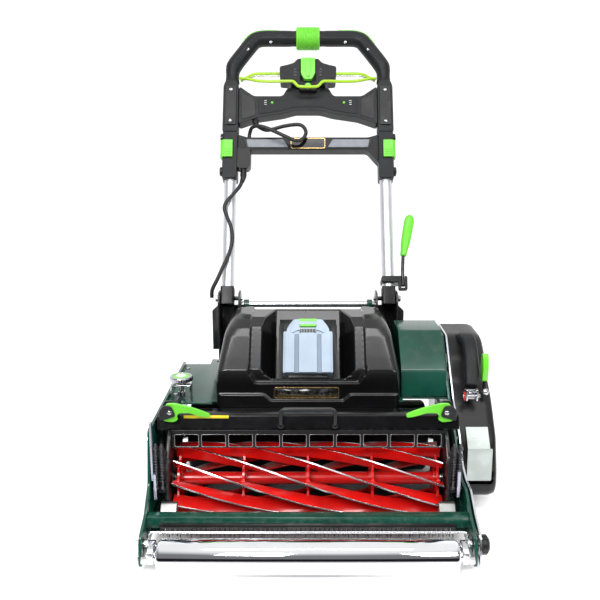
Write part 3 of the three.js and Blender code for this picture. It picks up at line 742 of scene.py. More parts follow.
def lofted(rings: Sequence[Sequence[Sequence[float]]]) -> Solid:
    """A solid through rings that all have the same number of points, capped at both ends."""
    count = len(rings[0])
    faces = [tuple(reversed(range(count)))]
    for r in range(len(rings) - 1):
        for k in range(count):
            a, b = r * count + k, r * count + (k + 1) % count
            faces.append((a, b, b + count, a + count))
    last = (len(rings) - 1) * count
    faces.append(tuple(last + k for k in range(count)))
    return Solid([p for ring in rings for p in ring], faces)


def domed(radius: float, height: float, low: float, axis: str, centre: Flat, sides: int = 24) -> Solid:
    """A round head with a domed end that points along the axis."""
    arc = [(radius * math.cos(a), low + height * (0.45 + 0.55 * math.sin(a))) for a in
           [math.pi / 2 * k / 5 for k in range(5)]]
    return turned([(0.01, low), (radius, low), *arc, (0.01, low + height)], axis, centre, sides)


def hex_bolt(size: float, height: float, low: float, axis: str, centre: Flat, shank: float = 0.0) -> Solid:
    """A hexagon head on a washer, with an optional length of bare thread beyond it."""
    up = 1 if height > 0 else -1
    spots = sorted((low, low + up * 1.2))
    head = sorted((low + up * 1.2, low + height))
    pieces = [rod(size * 1.25, *spots, axis, centre, 24), rod(size, *head, axis, centre, 6)]
    if shank:
        pieces.append(rod(size * 0.5, *sorted((low, low + height + up * shank)), axis, centre, 14))
    return together(pieces)


def coil(radius: float, wire: float, low: float, high: float, turns: float, centre: Flat) -> Solid:
    """A compression spring that stands along Z."""
    count = int(turns * 12)
    path = [Vector((centre[0] + radius * math.cos(2 * math.pi * turns * k / count),
                    centre[1] + radius * math.sin(2 * math.pi * turns * k / count),
                    low + (high - low) * k / count)) for k in range(count + 1)]
    return swept(path, wire, sides=6)


# ---------------------------------------------------------------- making pieces
@dataclass
class Workshop:
    """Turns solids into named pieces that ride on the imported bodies, and keeps count of them."""

    frame: dict
    pieces: list[str] = field(default_factory=list)

    def piece(self, name: str, solid: Solid, place: Matrix, finish: Finish, body: str, slot: str,
              stands_for: Sequence[str] = (), edge: float = 0.6, segments: int = 2,
              carve: Sequence[Solid] = (), levels: int = 0, weld: bool = False) -> bpy.types.Object:
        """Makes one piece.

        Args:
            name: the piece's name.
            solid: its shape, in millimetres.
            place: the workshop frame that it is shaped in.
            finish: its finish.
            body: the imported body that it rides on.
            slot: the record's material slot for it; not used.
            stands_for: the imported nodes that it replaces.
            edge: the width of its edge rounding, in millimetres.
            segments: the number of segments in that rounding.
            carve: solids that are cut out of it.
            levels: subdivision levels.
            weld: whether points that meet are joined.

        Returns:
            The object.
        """
        made = self.mesh_object(name, solid, place)
        for number, tool in enumerate(carve):
            self.carve(made, self.mesh_object(f"{name}_tool_{number}", tool, place))
        self.smooth(made, edge, segments, levels, weld)
        made.data.materials.append(finish.material())
        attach(made, body)
        if stands_for:
            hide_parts(*stands_for)
        self.note(name, body)
        return made

    def moulded(self, name: str, solid: Solid, place: Matrix, finish: Finish, body: str, slot: str,
                stands_for: Sequence[str], carve: Sequence[Solid], voxel: float,
                rounds: int) -> bpy.types.Object:
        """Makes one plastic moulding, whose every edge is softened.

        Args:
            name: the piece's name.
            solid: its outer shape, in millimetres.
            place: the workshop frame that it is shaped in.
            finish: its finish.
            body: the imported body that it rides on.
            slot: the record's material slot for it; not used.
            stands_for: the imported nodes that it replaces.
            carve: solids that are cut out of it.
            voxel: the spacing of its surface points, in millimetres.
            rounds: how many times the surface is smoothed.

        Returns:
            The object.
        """
        made = self.piece(name, solid, place, finish, body, slot, stands_for, edge=0.0, carve=carve)
        fine = made.modifiers.new("fine", "REMESH")
        fine.mode = "VOXEL"
        fine.voxel_size = voxel * MM
        fine.use_smooth_shade = True
        soft = made.modifiers.new("soft", "SMOOTH")
        soft.factor = 0.5
        soft.iterations = rounds
        return made

    def note(self, name: str, body: str) -> None:
        """Reports a finished piece."""
        self.pieces.append(name)
        LOG.info("%s rides on %s", name, body)

    @staticmethod
    def mesh_object(name: str, solid: Solid, place: Matrix) -> bpy.types.Object:
        """A bare mesh object, in metres."""
        mesh = bpy.data.meshes.new(name)
        mesh.from_pydata([place @ p for p in solid.points], [], solid.faces)
        mesh.validate()
        shape = bmesh.new()
        shape.from_mesh(mesh)
        bmesh.ops.recalc_face_normals(shape, faces=shape.faces)
        shape.to_mesh(mesh)
        shape.free()
        made = bpy.data.objects.new(name, mesh)
        bpy.context.scene.collection.objects.link(made)
        return made

    @staticmethod
    def carve(made: bpy.types.Object, tool: bpy.types.Object) -> None:
        """Cuts a tool out of an object and throws the tool away."""
        cut = made.modifiers.new("cut", "BOOLEAN")
        cut.operation = "DIFFERENCE"
        cut.solver = "EXACT"
        cut.object = tool
        shaped = bpy.data.meshes.new_from_object(made.evaluated_get(bpy.context.evaluated_depsgraph_get()))
        made.modifiers.clear()
        made.data = shaped
        bpy.data.objects.remove(tool)

    @staticmethod
    def smooth(made: bpy.types.Object, edge: float, segments: int, levels: int = 0,
               weld: bool = False) -> None:
        """Rounds an object's edges and shades it smooth."""
        made.data.shade_smooth()
        if weld:
            made.modifiers.new("weld", "WELD").merge_threshold = 0.00002
        if levels:
            shaped = made.modifiers.new("subdivision", "SUBSURF")
            shaped.levels = shaped.render_levels = levels
        if edge > 0:
            soft = made.modifiers.new("edges", "BEVEL")
            soft.width = edge * MM
            soft.segments = segments
            soft.limit_method = "ANGLE"
            soft.angle_limit = math.radians(28)
            soft.harden_normals = True
            soft.use_clamp_overlap = True

    def dress(self, node: str, finish: Finish, edge: float = 0.0) -> None:
        """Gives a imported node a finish, and rounds its edges without moving its points."""
        made = self.frame["nodes"][node]
        made.data.materials.clear()
        made.data.materials.append(finish.material())
        if edge > 0:
            self.smooth(made, edge, 2, weld=True)


# ---------------------------------------------------------------- studio
@dataclass
class Studio:
    """The camera, the pale floor and the soft lights."""

    eye: Spot = (0.0, -1248.0, 770.0)
    pitch: float = 12.65
    lens: float = 47.46
    shift: float = -0.0133
    front_light: Colour = (0.2, 0.2, 0.21)
    back_light: Colour = (1.12, 1.12, 1.12)
    top_light: Colour = (0.95, 0.95, 0.95)
    skirting: Colour = (0.012, 0.01, 0.014)

    def build(self) -> None:
        """Makes the whole studio."""
        self.camera()
        self.floor()
        self.sky()
        self.lamp("key", (-700.0, -1900.0, 1900.0), (0.0, 200.0, 250.0), (0.9, 0.7), 50.0)
        self.lamp("fill", (1500.0, -1400.0, 1500.0), (0.0, 200.0, 250.0), (0.7, 0.7), 20.0)
        self.lamp("strip", (0.0, -500.0, 2500.0), (0.0, 250.0, 250.0), (2.6, 0.3), 22.0)
        scene = bpy.context.scene
        scene.view_settings.view_transform = "Standard"
        scene.view_settings.look = "None"

    def camera(self) -> None:
        """Sets the camera in front of the mower, looking slightly down."""
        data = bpy.data.cameras.new("camera")
        data.lens = self.lens
        data.shift_x = self.shift
        data.clip_start = 0.05
        made = bpy.data.objects.new("camera", data)
        made.location = BASE @ Vector(self.eye)
        made.rotation_euler = (math.radians(90 - self.pitch), 0.0, 0.0)
        bpy.context.scene.collection.objects.link(made)
        bpy.context.scene.camera = made

    def floor(self) -> None:
        """Lays a wide pale floor."""
        half = 12000.0
        slab = Solid([(-half, -half, 0), (half, -half, 0), (half, half, 0), (-half, half, 0)],
                     [(0, 1, 2, 3)])
        made = Workshop.mesh_object("studio_floor", slab, BASE)
        finish = PaleFloor("studio floor", (0.9, 0.9, 0.9), 0.8, grain_size=3.0, relief=0.02, drift=0.01,
                           dust=0.0, specular=0.1, glow=0.4)
        made.data.materials.append(finish.material())

    def sky(self) -> None:
        """Fills the studio with soft light, bright behind and dim in front, over a dark skirting."""
        world = bpy.data.worlds.new("studio")
        shader = Shader(world)
        way = shader.node("ShaderNodeTexCoord", output="Generated")
        back, up = (shader.node("ShaderNodeSeparateXYZ", None, {0: way}, axis) for axis in ("Y", "Z"))
        wall = back.above(-0.35, 0.9).blend(self.front_light, self.back_light)
        ceiling = up.above(0.55, 0.3).blend(wall, self.top_light)
        skirting = (1 - up.above(0.2, 0.12)) * (1 - back.above(-0.75, 0.45))
        shader.set("Color", skirting.blend(ceiling, self.skirting))
        bpy.context.scene.world = world

    def lamp(self, name: str, spot: Spot, aim: Spot, size: Flat, power: float) -> None:
        """Hangs a rectangular soft lamp.

        Args:
            name: the lamp's name.
            spot: where it hangs, in the base frame.
            aim: what it points at.
            size: its width and depth in metres.
            power: its power in watts.
        """
        data = bpy.data.lights.new(name, "AREA")
        data.shape = "RECTANGLE"
        data.size, data.size_y = size
        data.energy = power
        made = bpy.data.objects.new(name, data)
        made.location = BASE @ Vector(spot)
        toward = (BASE @ Vector(aim)) - made.location
        made.rotation_euler = toward.to_track_quat("-Z", "Y").to_euler()
        bpy.context.scene.collection.objects.link(made)


# ---------------------------------------------------------------- assemblies
@dataclass
class Assembly:
    """A sub-assembly, shaped in one workshop frame and riding on one body unless a piece names another."""

    shop: Workshop
    place: ClassVar[Matrix] = BASE
    body: ClassVar[str] = "chassis"

    def piece(self, name: str, solid: Solid, finish: Finish, slot: str, stands_for: Sequence[str] = (),
              body: str = "", **shaping) -> bpy.types.Object:
        """Makes one piece; the shaping settings are those of the workshop."""
        return self.shop.piece(name, solid, self.place, finish, body or self.body, slot, stands_for,
                               **shaping)


# ---------------------------------------------------------------- front roller
@dataclass
class FrontRoller(Assembly):
    """The chrome front roller with its axle ends, height brackets, scraper rod and row of bristles."""

    body: ClassVar[str] = "height_frame"
    radius: float = 31.0
    half: float = 263.0
    bristles: int = 230

    def build(self) -> None:
        """Makes everything round the front roller."""
        r, h = self.radius, self.half
        end = [(8, h), (r - 9, h), (r - 6, h - 1.6), (r - 2.5, h - 3), (r, h - 8)]
        profile = [(radius, -x) for radius, x in end] + list(reversed(end))
        self.piece("roller_drum", turned(profile, "X", (0, r), 96), ROLLER_CHROME, "roller_chrome",
                   ["front_roller"], body="front_roller", edge=0.5)
        self.brackets()
        self.scraper()
        self.brush()
        self.knob()

    def brackets(self) -> None:
        """Sleeves the axle ends and bolts the height brackets on."""
        sleeve = turned([(7.7, 263.4), (11, 263.4), (11, 264.6), (9, 265), (9, 269), (7.7, 269)], "X",
                        (0, 31), 32)
        self.piece("axle_sleeves", both_sides(sleeve), FASTENER, "steel_plate", edge=0.3)
        heads = hex_bolt(7.5, -6, -295.6, "X", (15, 46)) + hex_bolt(5.5, -4, -295.6, "X", (7, 25))
        self.piece("bracket_bolts_left", heads, FASTENER, "steel_plate", edge=0.4)
        inner = both_sides(hex_bolt(6, -5, 268, "X", (14, 42)))
        self.piece("bracket_bolts_inner", inner, FASTENER, "steel_plate", edge=0.4)

    def scraper(self) -> None:
        """Bends the bright rod that hangs behind the roller's crown."""
        x = 284.0
        half = [(x, 30, 46), (x, 30, 60.5), (x - 16, 30, 60.5)]
        line = [*half, *[(-px, y, z) for px, y, z in reversed(half)]]
        self.piece("scraper_bar", swept(bent_bar(line, 9), 2.6, across=(0, 1, 0)), CHROME, "chrome_plate",
                   ["scraper_rod"], edge=0.0)

    def brush(self) -> None:
        """Sets uneven bristles in a back strip."""
        back = prism([(44, 62), (47.6, 62), (47.6, 69), (44, 69)], -266, 266, "X")
        pitch = 2 * 264.0 / self.bristles
        tufts = []
        for i in range(self.bristles):
            x = -264 + pitch * (i + 0.5)
            fall = 51 + 3.2 * math.sin(i * 2.399) + 2.2 * math.sin(i * 0.77)
            lean = 1.6 * math.sin(i * 1.7)
            tufts.append(lofted([
                [(x - 1, 44, 64), (x + 1, 44, 64), (x + 1, 47, 64), (x - 1, 47, 64)],
                [(x + lean - 0.5, 38, fall), (x + lean + 0.5, 38, fall), (x + lean + 0.5, 39.5, fall),
                 (x + lean - 0.5, 39.5, fall)],
            ]))
        self.piece("brush_bristles", back + together(tufts), BRISTLE, "bristle", ["roller_brush"],
                   body="chassis", edge=0.0)

    def knob(self) -> None:
        """Turns the black domed clamp knob with its finger flats."""
        dome = [(5.4, 303.6), (15.6, 303.6), (16.8, 305), (16.8, 311), (15, 315), (11, 318), (5, 319.3),
                (0.01, 319.5), (0.01, 303.6)]
        grips = together(rod(2.2, 304, 314, "X", spot, 10) for spot in circle(15.4, 12, (15, 46)))
        self.piece("clamp_knob_dome", turned(dome, "X", (15, 46), 48) + grips, COVER_BLACK, "black_plastic",
                   ["clamp_knob"], edge=0.8)


# ---------------------------------------------------------------- chassis
@dataclass
class Chassis(Assembly):
    """The small plates and fixings that are welded or bolted between the side plates."""

    def build(self) -> None:
        """Makes the gussets beside the cassette and the bolts through the side plates."""
        outline = [(266, 74), (289.6, 62), (289.6, 300), (266, 300)]
        gusset = prism(rounded(outline, 4), 40, 43, "Z")
        self.piece("side_gussets", both_sides(gusset), GREEN, "green_paint", edge=0.6)
        spots = ((130, 196), (330, 196), (500, 196), (300, 60), (520, 90))
        heads = together(hex_bolt(5.5, -4.5, -295.4, "X", spot) for spot in spots)
        self.piece("side_plate_bolts", heads, FASTENER, "steel_plate", edge=0.4)
        seams = together(domed(5, 2, 209.4, "Z", spot, 16) for spot in
                         ((-280, 340), (-280, 520), (280, 540), (-216, 584), (216, 584)))
        self.piece("deck_screws", seams, FASTENER, "steel_plate", edge=0.0)


# ---------------------------------------------------------------- cutting reel
@dataclass
class Reel(Assembly):
    """The red cutting cylinder: helical blades on five spiders round a tube."""

    body: ClassVar[str] = "reel"
    centre: Flat = (187.0, 91.0)
    radius: float = 70.0
    half: float = 255.0
    blades: int = 10
    twist: float = math.radians(148)
    steps: int = 64

    def build(self) -> None:
        """Makes the cylinder."""
        blades = together(self.blade(k) for k in range(self.blades))
        spiders = together(self.spider(x) for x in (-247.0, -123.0, 0.0, 123.0, 247.0))
        tube = rod(12, -self.half, self.half, "X", self.centre, 32)
        self.piece("reel_blades", blades, REEL_RED, "red_paint", ["reel"], edge=0.25)
        self.piece("reel_spiders", spiders + tube, REEL_RED, "red_paint", edge=0.6)
        ends = both_sides(rod(8, self.half, 271, "X", self.centre, 24)
                          + rod(15, 255.2, 258.8, "X", self.centre, 24))
        self.piece("reel_journals", ends, FASTENER, "steel_plate", edge=0.5)

    def turn_at(self, x: float, number: float) -> float:
        """How far round a blade has turned at x."""
        return (x + self.half) / (2 * self.half) * self.twist + number / self.blades * 2 * math.pi

    def around(self, x: float, turn: float, u: float, v: float) -> Spot:
        """The place v out from the shaft and u round it, at a turn."""
        y, z = self.centre
        return x, y + u * math.cos(turn) - v * math.sin(turn), z + u * math.sin(turn) + v * math.cos(turn)

    def blade(self, number: int) -> Solid:
        """One helical blade, raked back towards its ground edge."""
        section = [(-1.8, 45.0), (1.8, 45.0), (0.6, 62.0), (-1.0, self.radius), (-3.9, self.radius),
                   (-2.8, 62.0)]
        rings = []
        for i in range(self.steps + 1):
            x = -self.half + 2 * self.half * i / self.steps
            turn = self.turn_at(x, number)
            rings.append([self.around(x, turn, u, v) for u, v in section])
        return lofted(rings)

    def spider(self, x: float) -> Solid:
        """A pressed disc with an arm under every blade, and its welded collar."""
        rim = []
        for k in range(self.blades):
            for part, reach in ((-0.17, 50.0), (0.17, 50.0), (0.32, 44.5), (0.5, 43.5), (0.68, 44.5)):
                rim.append(self.around(0.0, self.turn_at(x, k + part), 0.0, reach)[1:])
        web = prism(rim, x - 2.4, x + 2.4, "X")
        collar = rod(20, x - 5, x + 5, "X", self.centre, 32)
        beads = [rod(3.2, x - 3.6, x + 3.6, "X", self.around(0.0, self.turn_at(x, k + 0.05), 2.5, 48.0)[1:],
                     10)
                 for k in range(self.blades)]
        return web + collar + together(beads)


# ---------------------------------------------------------------- cassette
@dataclass
class Cassette(Assembly):
    """The lift-out cassette: end plates, folded lid with windows, cam levers and blade adjusters."""

    body: ClassVar[str] = "cassette"
    lid_half: float = 286.0
    windows: int = 10
    pitch: float = 51.0

    def build(self) -> None:
        """Makes everything on the cassette."""
        self.lid()
        self.lift_handle()
        self.cams()
        self.adjusters()
        self.bed()
        self.sticker()

    def lid(self) -> None:
        """Folds the lid's roof and sloping brow, stamps the windows below them, and rings each window with
        bright steel as a painted highlight on its edges.
        """
        fold = [(284, 199), (197, 199), (192, 202), (189, 226), (185, 229.4), (169, 229.4), (165.4, 228),
                (156.4, 205.4), (157.4, 203.6), (160, 204.4), (168, 226.4), (184, 226.4), (186.4, 223),
                (189, 199), (194, 196), (284, 196)]
        h = self.lid_half
        roof = prism(fold, -h, h, "X")
        self.piece("lid_roof", roof, LID_BLACK, "gloss_black", ["cassette_lid"], edge=1.1, segments=3)
        ridge = prism([(161.4, 214), (159.8, 212.4), (163.0, 211.4), (164.4, 214.6)], -h + 2, h - 2, "X")
        rail = prism([(150.8, 197.5), (157.4, 197.5), (157.4, 205), (150.8, 205)], -258, 258, "X")
        self.piece("lid_ridges", ridge + rail, LID_BLACK, "gloss_black", edge=1.0, segments=3)
        face = rectangle(-258, 258, 168, 205)
        centres = [self.pitch * (i - (self.windows - 1) / 2) for i in range(self.windows)]
        holes = [rounded(rectangle(x - 22.6, x + 22.6, 170.6, 195), 3) for x in centres]
        self.piece("lid_grille", prism(face, 154, 157.5, "Y", holes), LID_BLACK, "gloss_black", edge=0.9,
                   segments=2)
        # Painted highlight: a thin bright steel ring round each window stands in for the light caught by
        # the window's edges.
        window_highlight_rings = together(prism(rounded(rectangle(x - 22.9, x + 22.9, 170.2, 195.4), 3), 153.4, 154.4, "Y",
                              [rounded(rectangle(x - 22.4, x + 22.4, 170.7, 194.9), 3)])
                        for x in centres)
        self.piece("grille_window_highlights", window_highlight_rings, STEEL, "gloss_black", edge=0.2)

    def lift_handle(self) -> None:
        """Bends the bar that the cassette is lifted by."""
        line = [(-51, 157, 212), (-51, 148, 216), (-51, 149, 247), (51, 149, 247), (51, 148, 216),
                (51, 157, 212)]
        bar = swept(bent_bar(line, 11, 7), 4, sides=18)
        self.piece("lift_handle_bar", bar, BLACK_PAINT, "black_metal", ["lift_handle"], edge=0.0)
        feet = both_sides(turned([(0.01, 151), (5.6, 151), (5.6, 153), (5, 156), (0.01, 156)], "Y",
                                 (51, 213), 20))
        self.piece("lift_handle_feet", feet, BLACK_PAINT, "black_metal", edge=0.3)

    def cams(self) -> None:
        """Makes the lime cam levers, their pivots and their black ears."""
        lever = rounded([(-7, 15), (8, 16), (36, 9), (62, 0), (75, -6), (73, -12), (58, -10), (36, -3),
                         (17, -3), (12, -9), (15, -16), (6, -21), (-12, -19), (-17, -9), (-9, -6),
                         (-10, 6)], 4)
        arm = prism(lever, -3.4, 3.4, "Y")
        for name, turn in (("cam_lever_left", arm), ("cam_lever_right", arm.mirrored())):
            x = -258 if name.endswith("left") else 258
            self.piece(f"{name}_arm", turn.shifted(x, 150, 243), LIME, "lime_plastic", [name], body=name,
                       edge=1.4, segments=3)
        ear = rounded([(243, 227), (276, 227), (276, 247), (270, 258), (252, 258), (243, 247)], 5)
        cheek = rounded([(247, 235), (276, 226), (278, 246), (268, 257), (254, 255)], 5)
        boss = prism(ear, 164.7, 168, "Y") + rod(6, 141, 166, "Y", (258, 243), 24)
        boss = boss + prism(cheek, 142, 145.6, "Y")
        self.piece("cam_ears", both_sides(boss), BLACK_PAINT, "gloss_black", edge=0.9)
        nut = domed(4.6, 3.4, -141.6, "Y", (258, 243)).moved(Matrix.Diagonal((1, -1, 1, 1)))
        self.piece("cam_pivot_bolts", both_sides(nut), FASTENER, "steel_plate", edge=0.0)

    def adjusters(self) -> None:
        """Stands the adjuster screws, springs and bars against the end plates."""
        screws, springs = [], []
        for x in (268.5, 279.5):
            screws += [rod(2.6, 112, 196, "Z", (x, 106), 14), hex_bolt(4.6, 5, 186, "Z", (x, 106)),
                       hex_bolt(4.6, 5, 172, "Z", (x, 106)), hex_bolt(4.6, 5, 108, "Z", (x, 106))]
            springs.append(coil(4.6, 0.95, 120, 170, 9, (x, 106)))
        self.piece("adjuster_screws", both_sides(together(screws)), ADJUSTER, "steel_plate", edge=0.3)
        self.piece("adjuster_springs", both_sides(together(springs)), ADJUSTER, "steel_plate", edge=0.0)
        bars = block((-288.6, -284.6), (100, 110), (126, 238), 1.5)
        bars = bars + block((-284, -279), (96, 102), (90, 140), 1)
        bars = bars + block((274, 280), (94, 101), (96, 146), 1.5)
        self.piece("adjuster_bars", bars, LAVENDER, "steel_plate", edge=0.7)
        housing = turned([(9, 264.5), (24, 264.5), (24, 274), (20, 277), (9, 277)], "X", (187, 91), 48)
        bolts = together(hex_bolt(4, 4, 265, "X", spot) for spot in circle(33, 3, (187, 91)))
        self.piece("bearing_housings", both_sides(housing), CAST, "black_metal", edge=0.8)
        self.piece("bearing_bolts", both_sides(bolts), FASTENER, "steel_plate", edge=0.3)

    def bed(self) -> None:
        """Casts the pale wedges at the ends of the bottom blade and screws the blade down."""
        wedge = [(92, 50), (96, 66), (107, 78), (116, 78), (116, 50)]
        ends = both_sides(prism(rounded(wedge, 3), 244, 274, "X"))
        self.piece("bed_wedges", ends, CAST, "steel_plate", edge=1.6, segments=3)
        screws = together(domed(4, 1.8, 20.2, "Z", (x, 194), 16) for x in range(-240, 241, 48))
        self.piece("bed_screws", screws, FASTENER, "steel_plate", edge=0.0)

    def sticker(self) -> None:
        """Sticks the blank yellow label on the lid's brow."""
        shape = [(165.6, 228.6), (163.6, 223.4), (163.2, 223.6), (165.2, 229)]
        made = prism(shape, -235, -150, "X").shifted(y=-0.9, z=0.5)
        self.piece("lid_sticker", made, STICKER, "gloss_black", edge=0.0)


# ---------------------------------------------------------------- hood and battery
@dataclass
class Hood(Assembly):
    """The vacuum-formed hood with its two humps, its stepped front, its channel and its blank badge."""

    front: float = 288.0
    bottom: float = 191.0
    half: float = 189.5

    def build(self) -> None:
        """Makes the hood and the framed badge on its front."""
        self.shop.moulded("hood_shell", self.shell(), BASE, HOOD_BLACK, "chassis", "gloss_black",
                          ["motor_hood"], carve=self.cuts(), voxel=1.8, rounds=7)
        self.badge()

    def shell(self) -> Solid:
        """The hood's outer block, lofted up from its foot to its crown."""
        rings = []
        for z, front, back, side, corner in (
            (self.bottom, self.front, 514.0, self.half, 16.0), (252.0, 289.0, 513.5, self.half, 18.0),
            (272.0, 290.0, 512.0, 187.0, 20.0), (300.0, 312.0, 511.0, 182.0, 22.0),
            (336.0, 341.0, 509.0, 175.5, 26.0), (351.0, 354.0, 503.0, 168.0, 30.0),
            (364.0, 374.0, 490.0, 158.0, 32.0), (370.5, 394.0, 468.0, 145.0, 26.0),
        ):
            outline = rounded(rectangle(-side, side, front, back), corner, 6)
            rings.append([(x, y, z) for x, y in outline])
        return lofted(rings)

    def cuts(self) -> list[Solid]:
        """The battery channel and the steps of the front face."""
        channel = lofted([self.mouth(y, half) for y, half in ((-90.0, 129.0), (0.0, 97.0), (66.0, 71.0))])
        channel = channel.moved(BASE.inverted() @ BATTERY)
        ledge = [(-200, 226), (-90, 226), (-76, 212.5), (72, 212.5), (88, 226), (200, 226), (200, 420),
                 (-200, 420)]
        lower_step = prism(ledge, 270, self.front + 6, "Y")
        recess = [(-122, 275), (-108, 249), (104, 249), (120, 275), (120, 420), (-122, 420)]
        upper_step = lofted([[(x, y, z) for x, z in recess] for y in (270.0, 303.0)])
        crown = prism([(270, 266), (303, 266), (303, 276), (366, 352), (396, 364), (470, 364), (520, 336),
                       (520, 420), (270, 420)], -120, 118, "X")
        sill = prism([(270, 262), (309, 262), (309, 300), (270, 300)], -90, 90, "X")
        behind = block((-300, 300), (297, 600), (0, 209.7))
        return [channel, lower_step, upper_step, crown, sill, behind]

    @staticmethod
    def mouth(y: float, half: float) -> list[Spot]:
        """The battery channel's section at a depth, with its lower corners chamfered."""
        section = [(-half, 6), (15 - half, -9), (half - 15, -9), (half, 6), (half, 320), (-half, 320)]
        return [(x, y, z) for x, z in section]

    def badge(self) -> None:
        """Sets a blank black plate in a raised gilt frame on the front."""
        x0, x1, z0, z1 = -70.0, 64.0, 217.0, 241.0
        outer = rounded(rectangle(x0, x1, z0, z1), 5)
        inner = rounded(rectangle(x0 + 1.8, x1 - 1.8, z0 + 1.8, z1 - 1.8), 4)
        face = self.front + 6
        self.piece("badge_frame", prism(outer, face - 1.8, face + 1, "Y", [inner]), GOLD, "gloss_black",
                   edge=0.3)
        self.piece("badge_plate", prism(inner, face - 0.9, face + 1, "Y"), GLOSS_BLACK, "gloss_black",
                   edge=0.0)


@dataclass
class Battery(Assembly):
    """The battery pack: a stepped shell with two grooves, a handle bar, charge lights and a release."""

    place: ClassVar[Matrix] = BATTERY
    body: ClassVar[str] = "battery"
    half: float = 51.6
    length: float = 122.6
    depth: float = 59.5

    def build(self) -> None:
        """Makes the pack's shell and its trim."""
        h, top = self.half, self.length
        lower = [(-h, 0.4), (h, 0.4), (h, 94), (h - 7, 94), (h - 7, 100), (39, top - 12), (30, top),
                 (-30, top), (-39, top - 12), (7 - h, 100), (7 - h, 94), (-h, 94)]
        shell = prism(rounded(lower, 3), 3.4, self.depth, "Y")
        panel = prism(rounded([(-19, 0.4), (19, 0.4), (19, 86), (14, 91), (-14, 91), (-19, 86)], 2), 0.6, 5,
                      "Y")
        flank = prism(rounded([(28, 0.4), (48, 0.4), (48, 90), (32, 90), (28, 86)], 2), 0.8, 5, "Y")
        brow = prism(rounded([(-36, 88), (-22, 96), (22, 96), (36, 88), (36, 104), (27, top - 1),
                              (-27, top - 1), (-36, 104)], 4), 0.4, 5, "Y")
        pocket = block((-17.6, 17.6), (-6, 9), (102.2, 109.8), 1.5, "Y")
        self.piece("battery_shell", shell, BATTERY_SHELL, "battery_case", ["battery"], edge=1.6, segments=3,
                   carve=[pocket])
        self.piece("battery_brow", brow, BATTERY_SHELL, "battery_case", edge=0.8, carve=[pocket])
        self.piece("battery_panels", panel + both_sides(flank), BATTERY_SHELL, "battery_case", edge=1.0)
        grooves = both_sides(block((19.6, 27.4), (2.4, 5), (1, 88)))
        self.piece("battery_grooves", grooves, BATTERY_GROOVE, "battery_case", edge=0.3)
        lamps = block((-17, 17), (-0.3, 5), (91, 98.5), 1.0, "Y")
        self.piece("charge_lights", lamps, LAMP, "black_plastic", edge=0.4)
        button = block((-16.5, 16.5), (-2.6, 3.4), (103.5, 108.5), 1.6, "Y")
        ribs = together(block((x - 0.8, x + 0.8), (-3.2, 3), (104.2, 107.8)) for x in range(-12, 13, 4))
        self.piece("release_button", button + ribs, LIME, "lime_plastic", ["battery_release"],
                   body="battery_release", edge=0.6)
        bar = block((-19, 19), (-0.6, 6), (top - 6, top - 0.4), 1.5, "Y")
        self.piece("battery_top_bar", bar, LIME, "lime_plastic", edge=0.8)


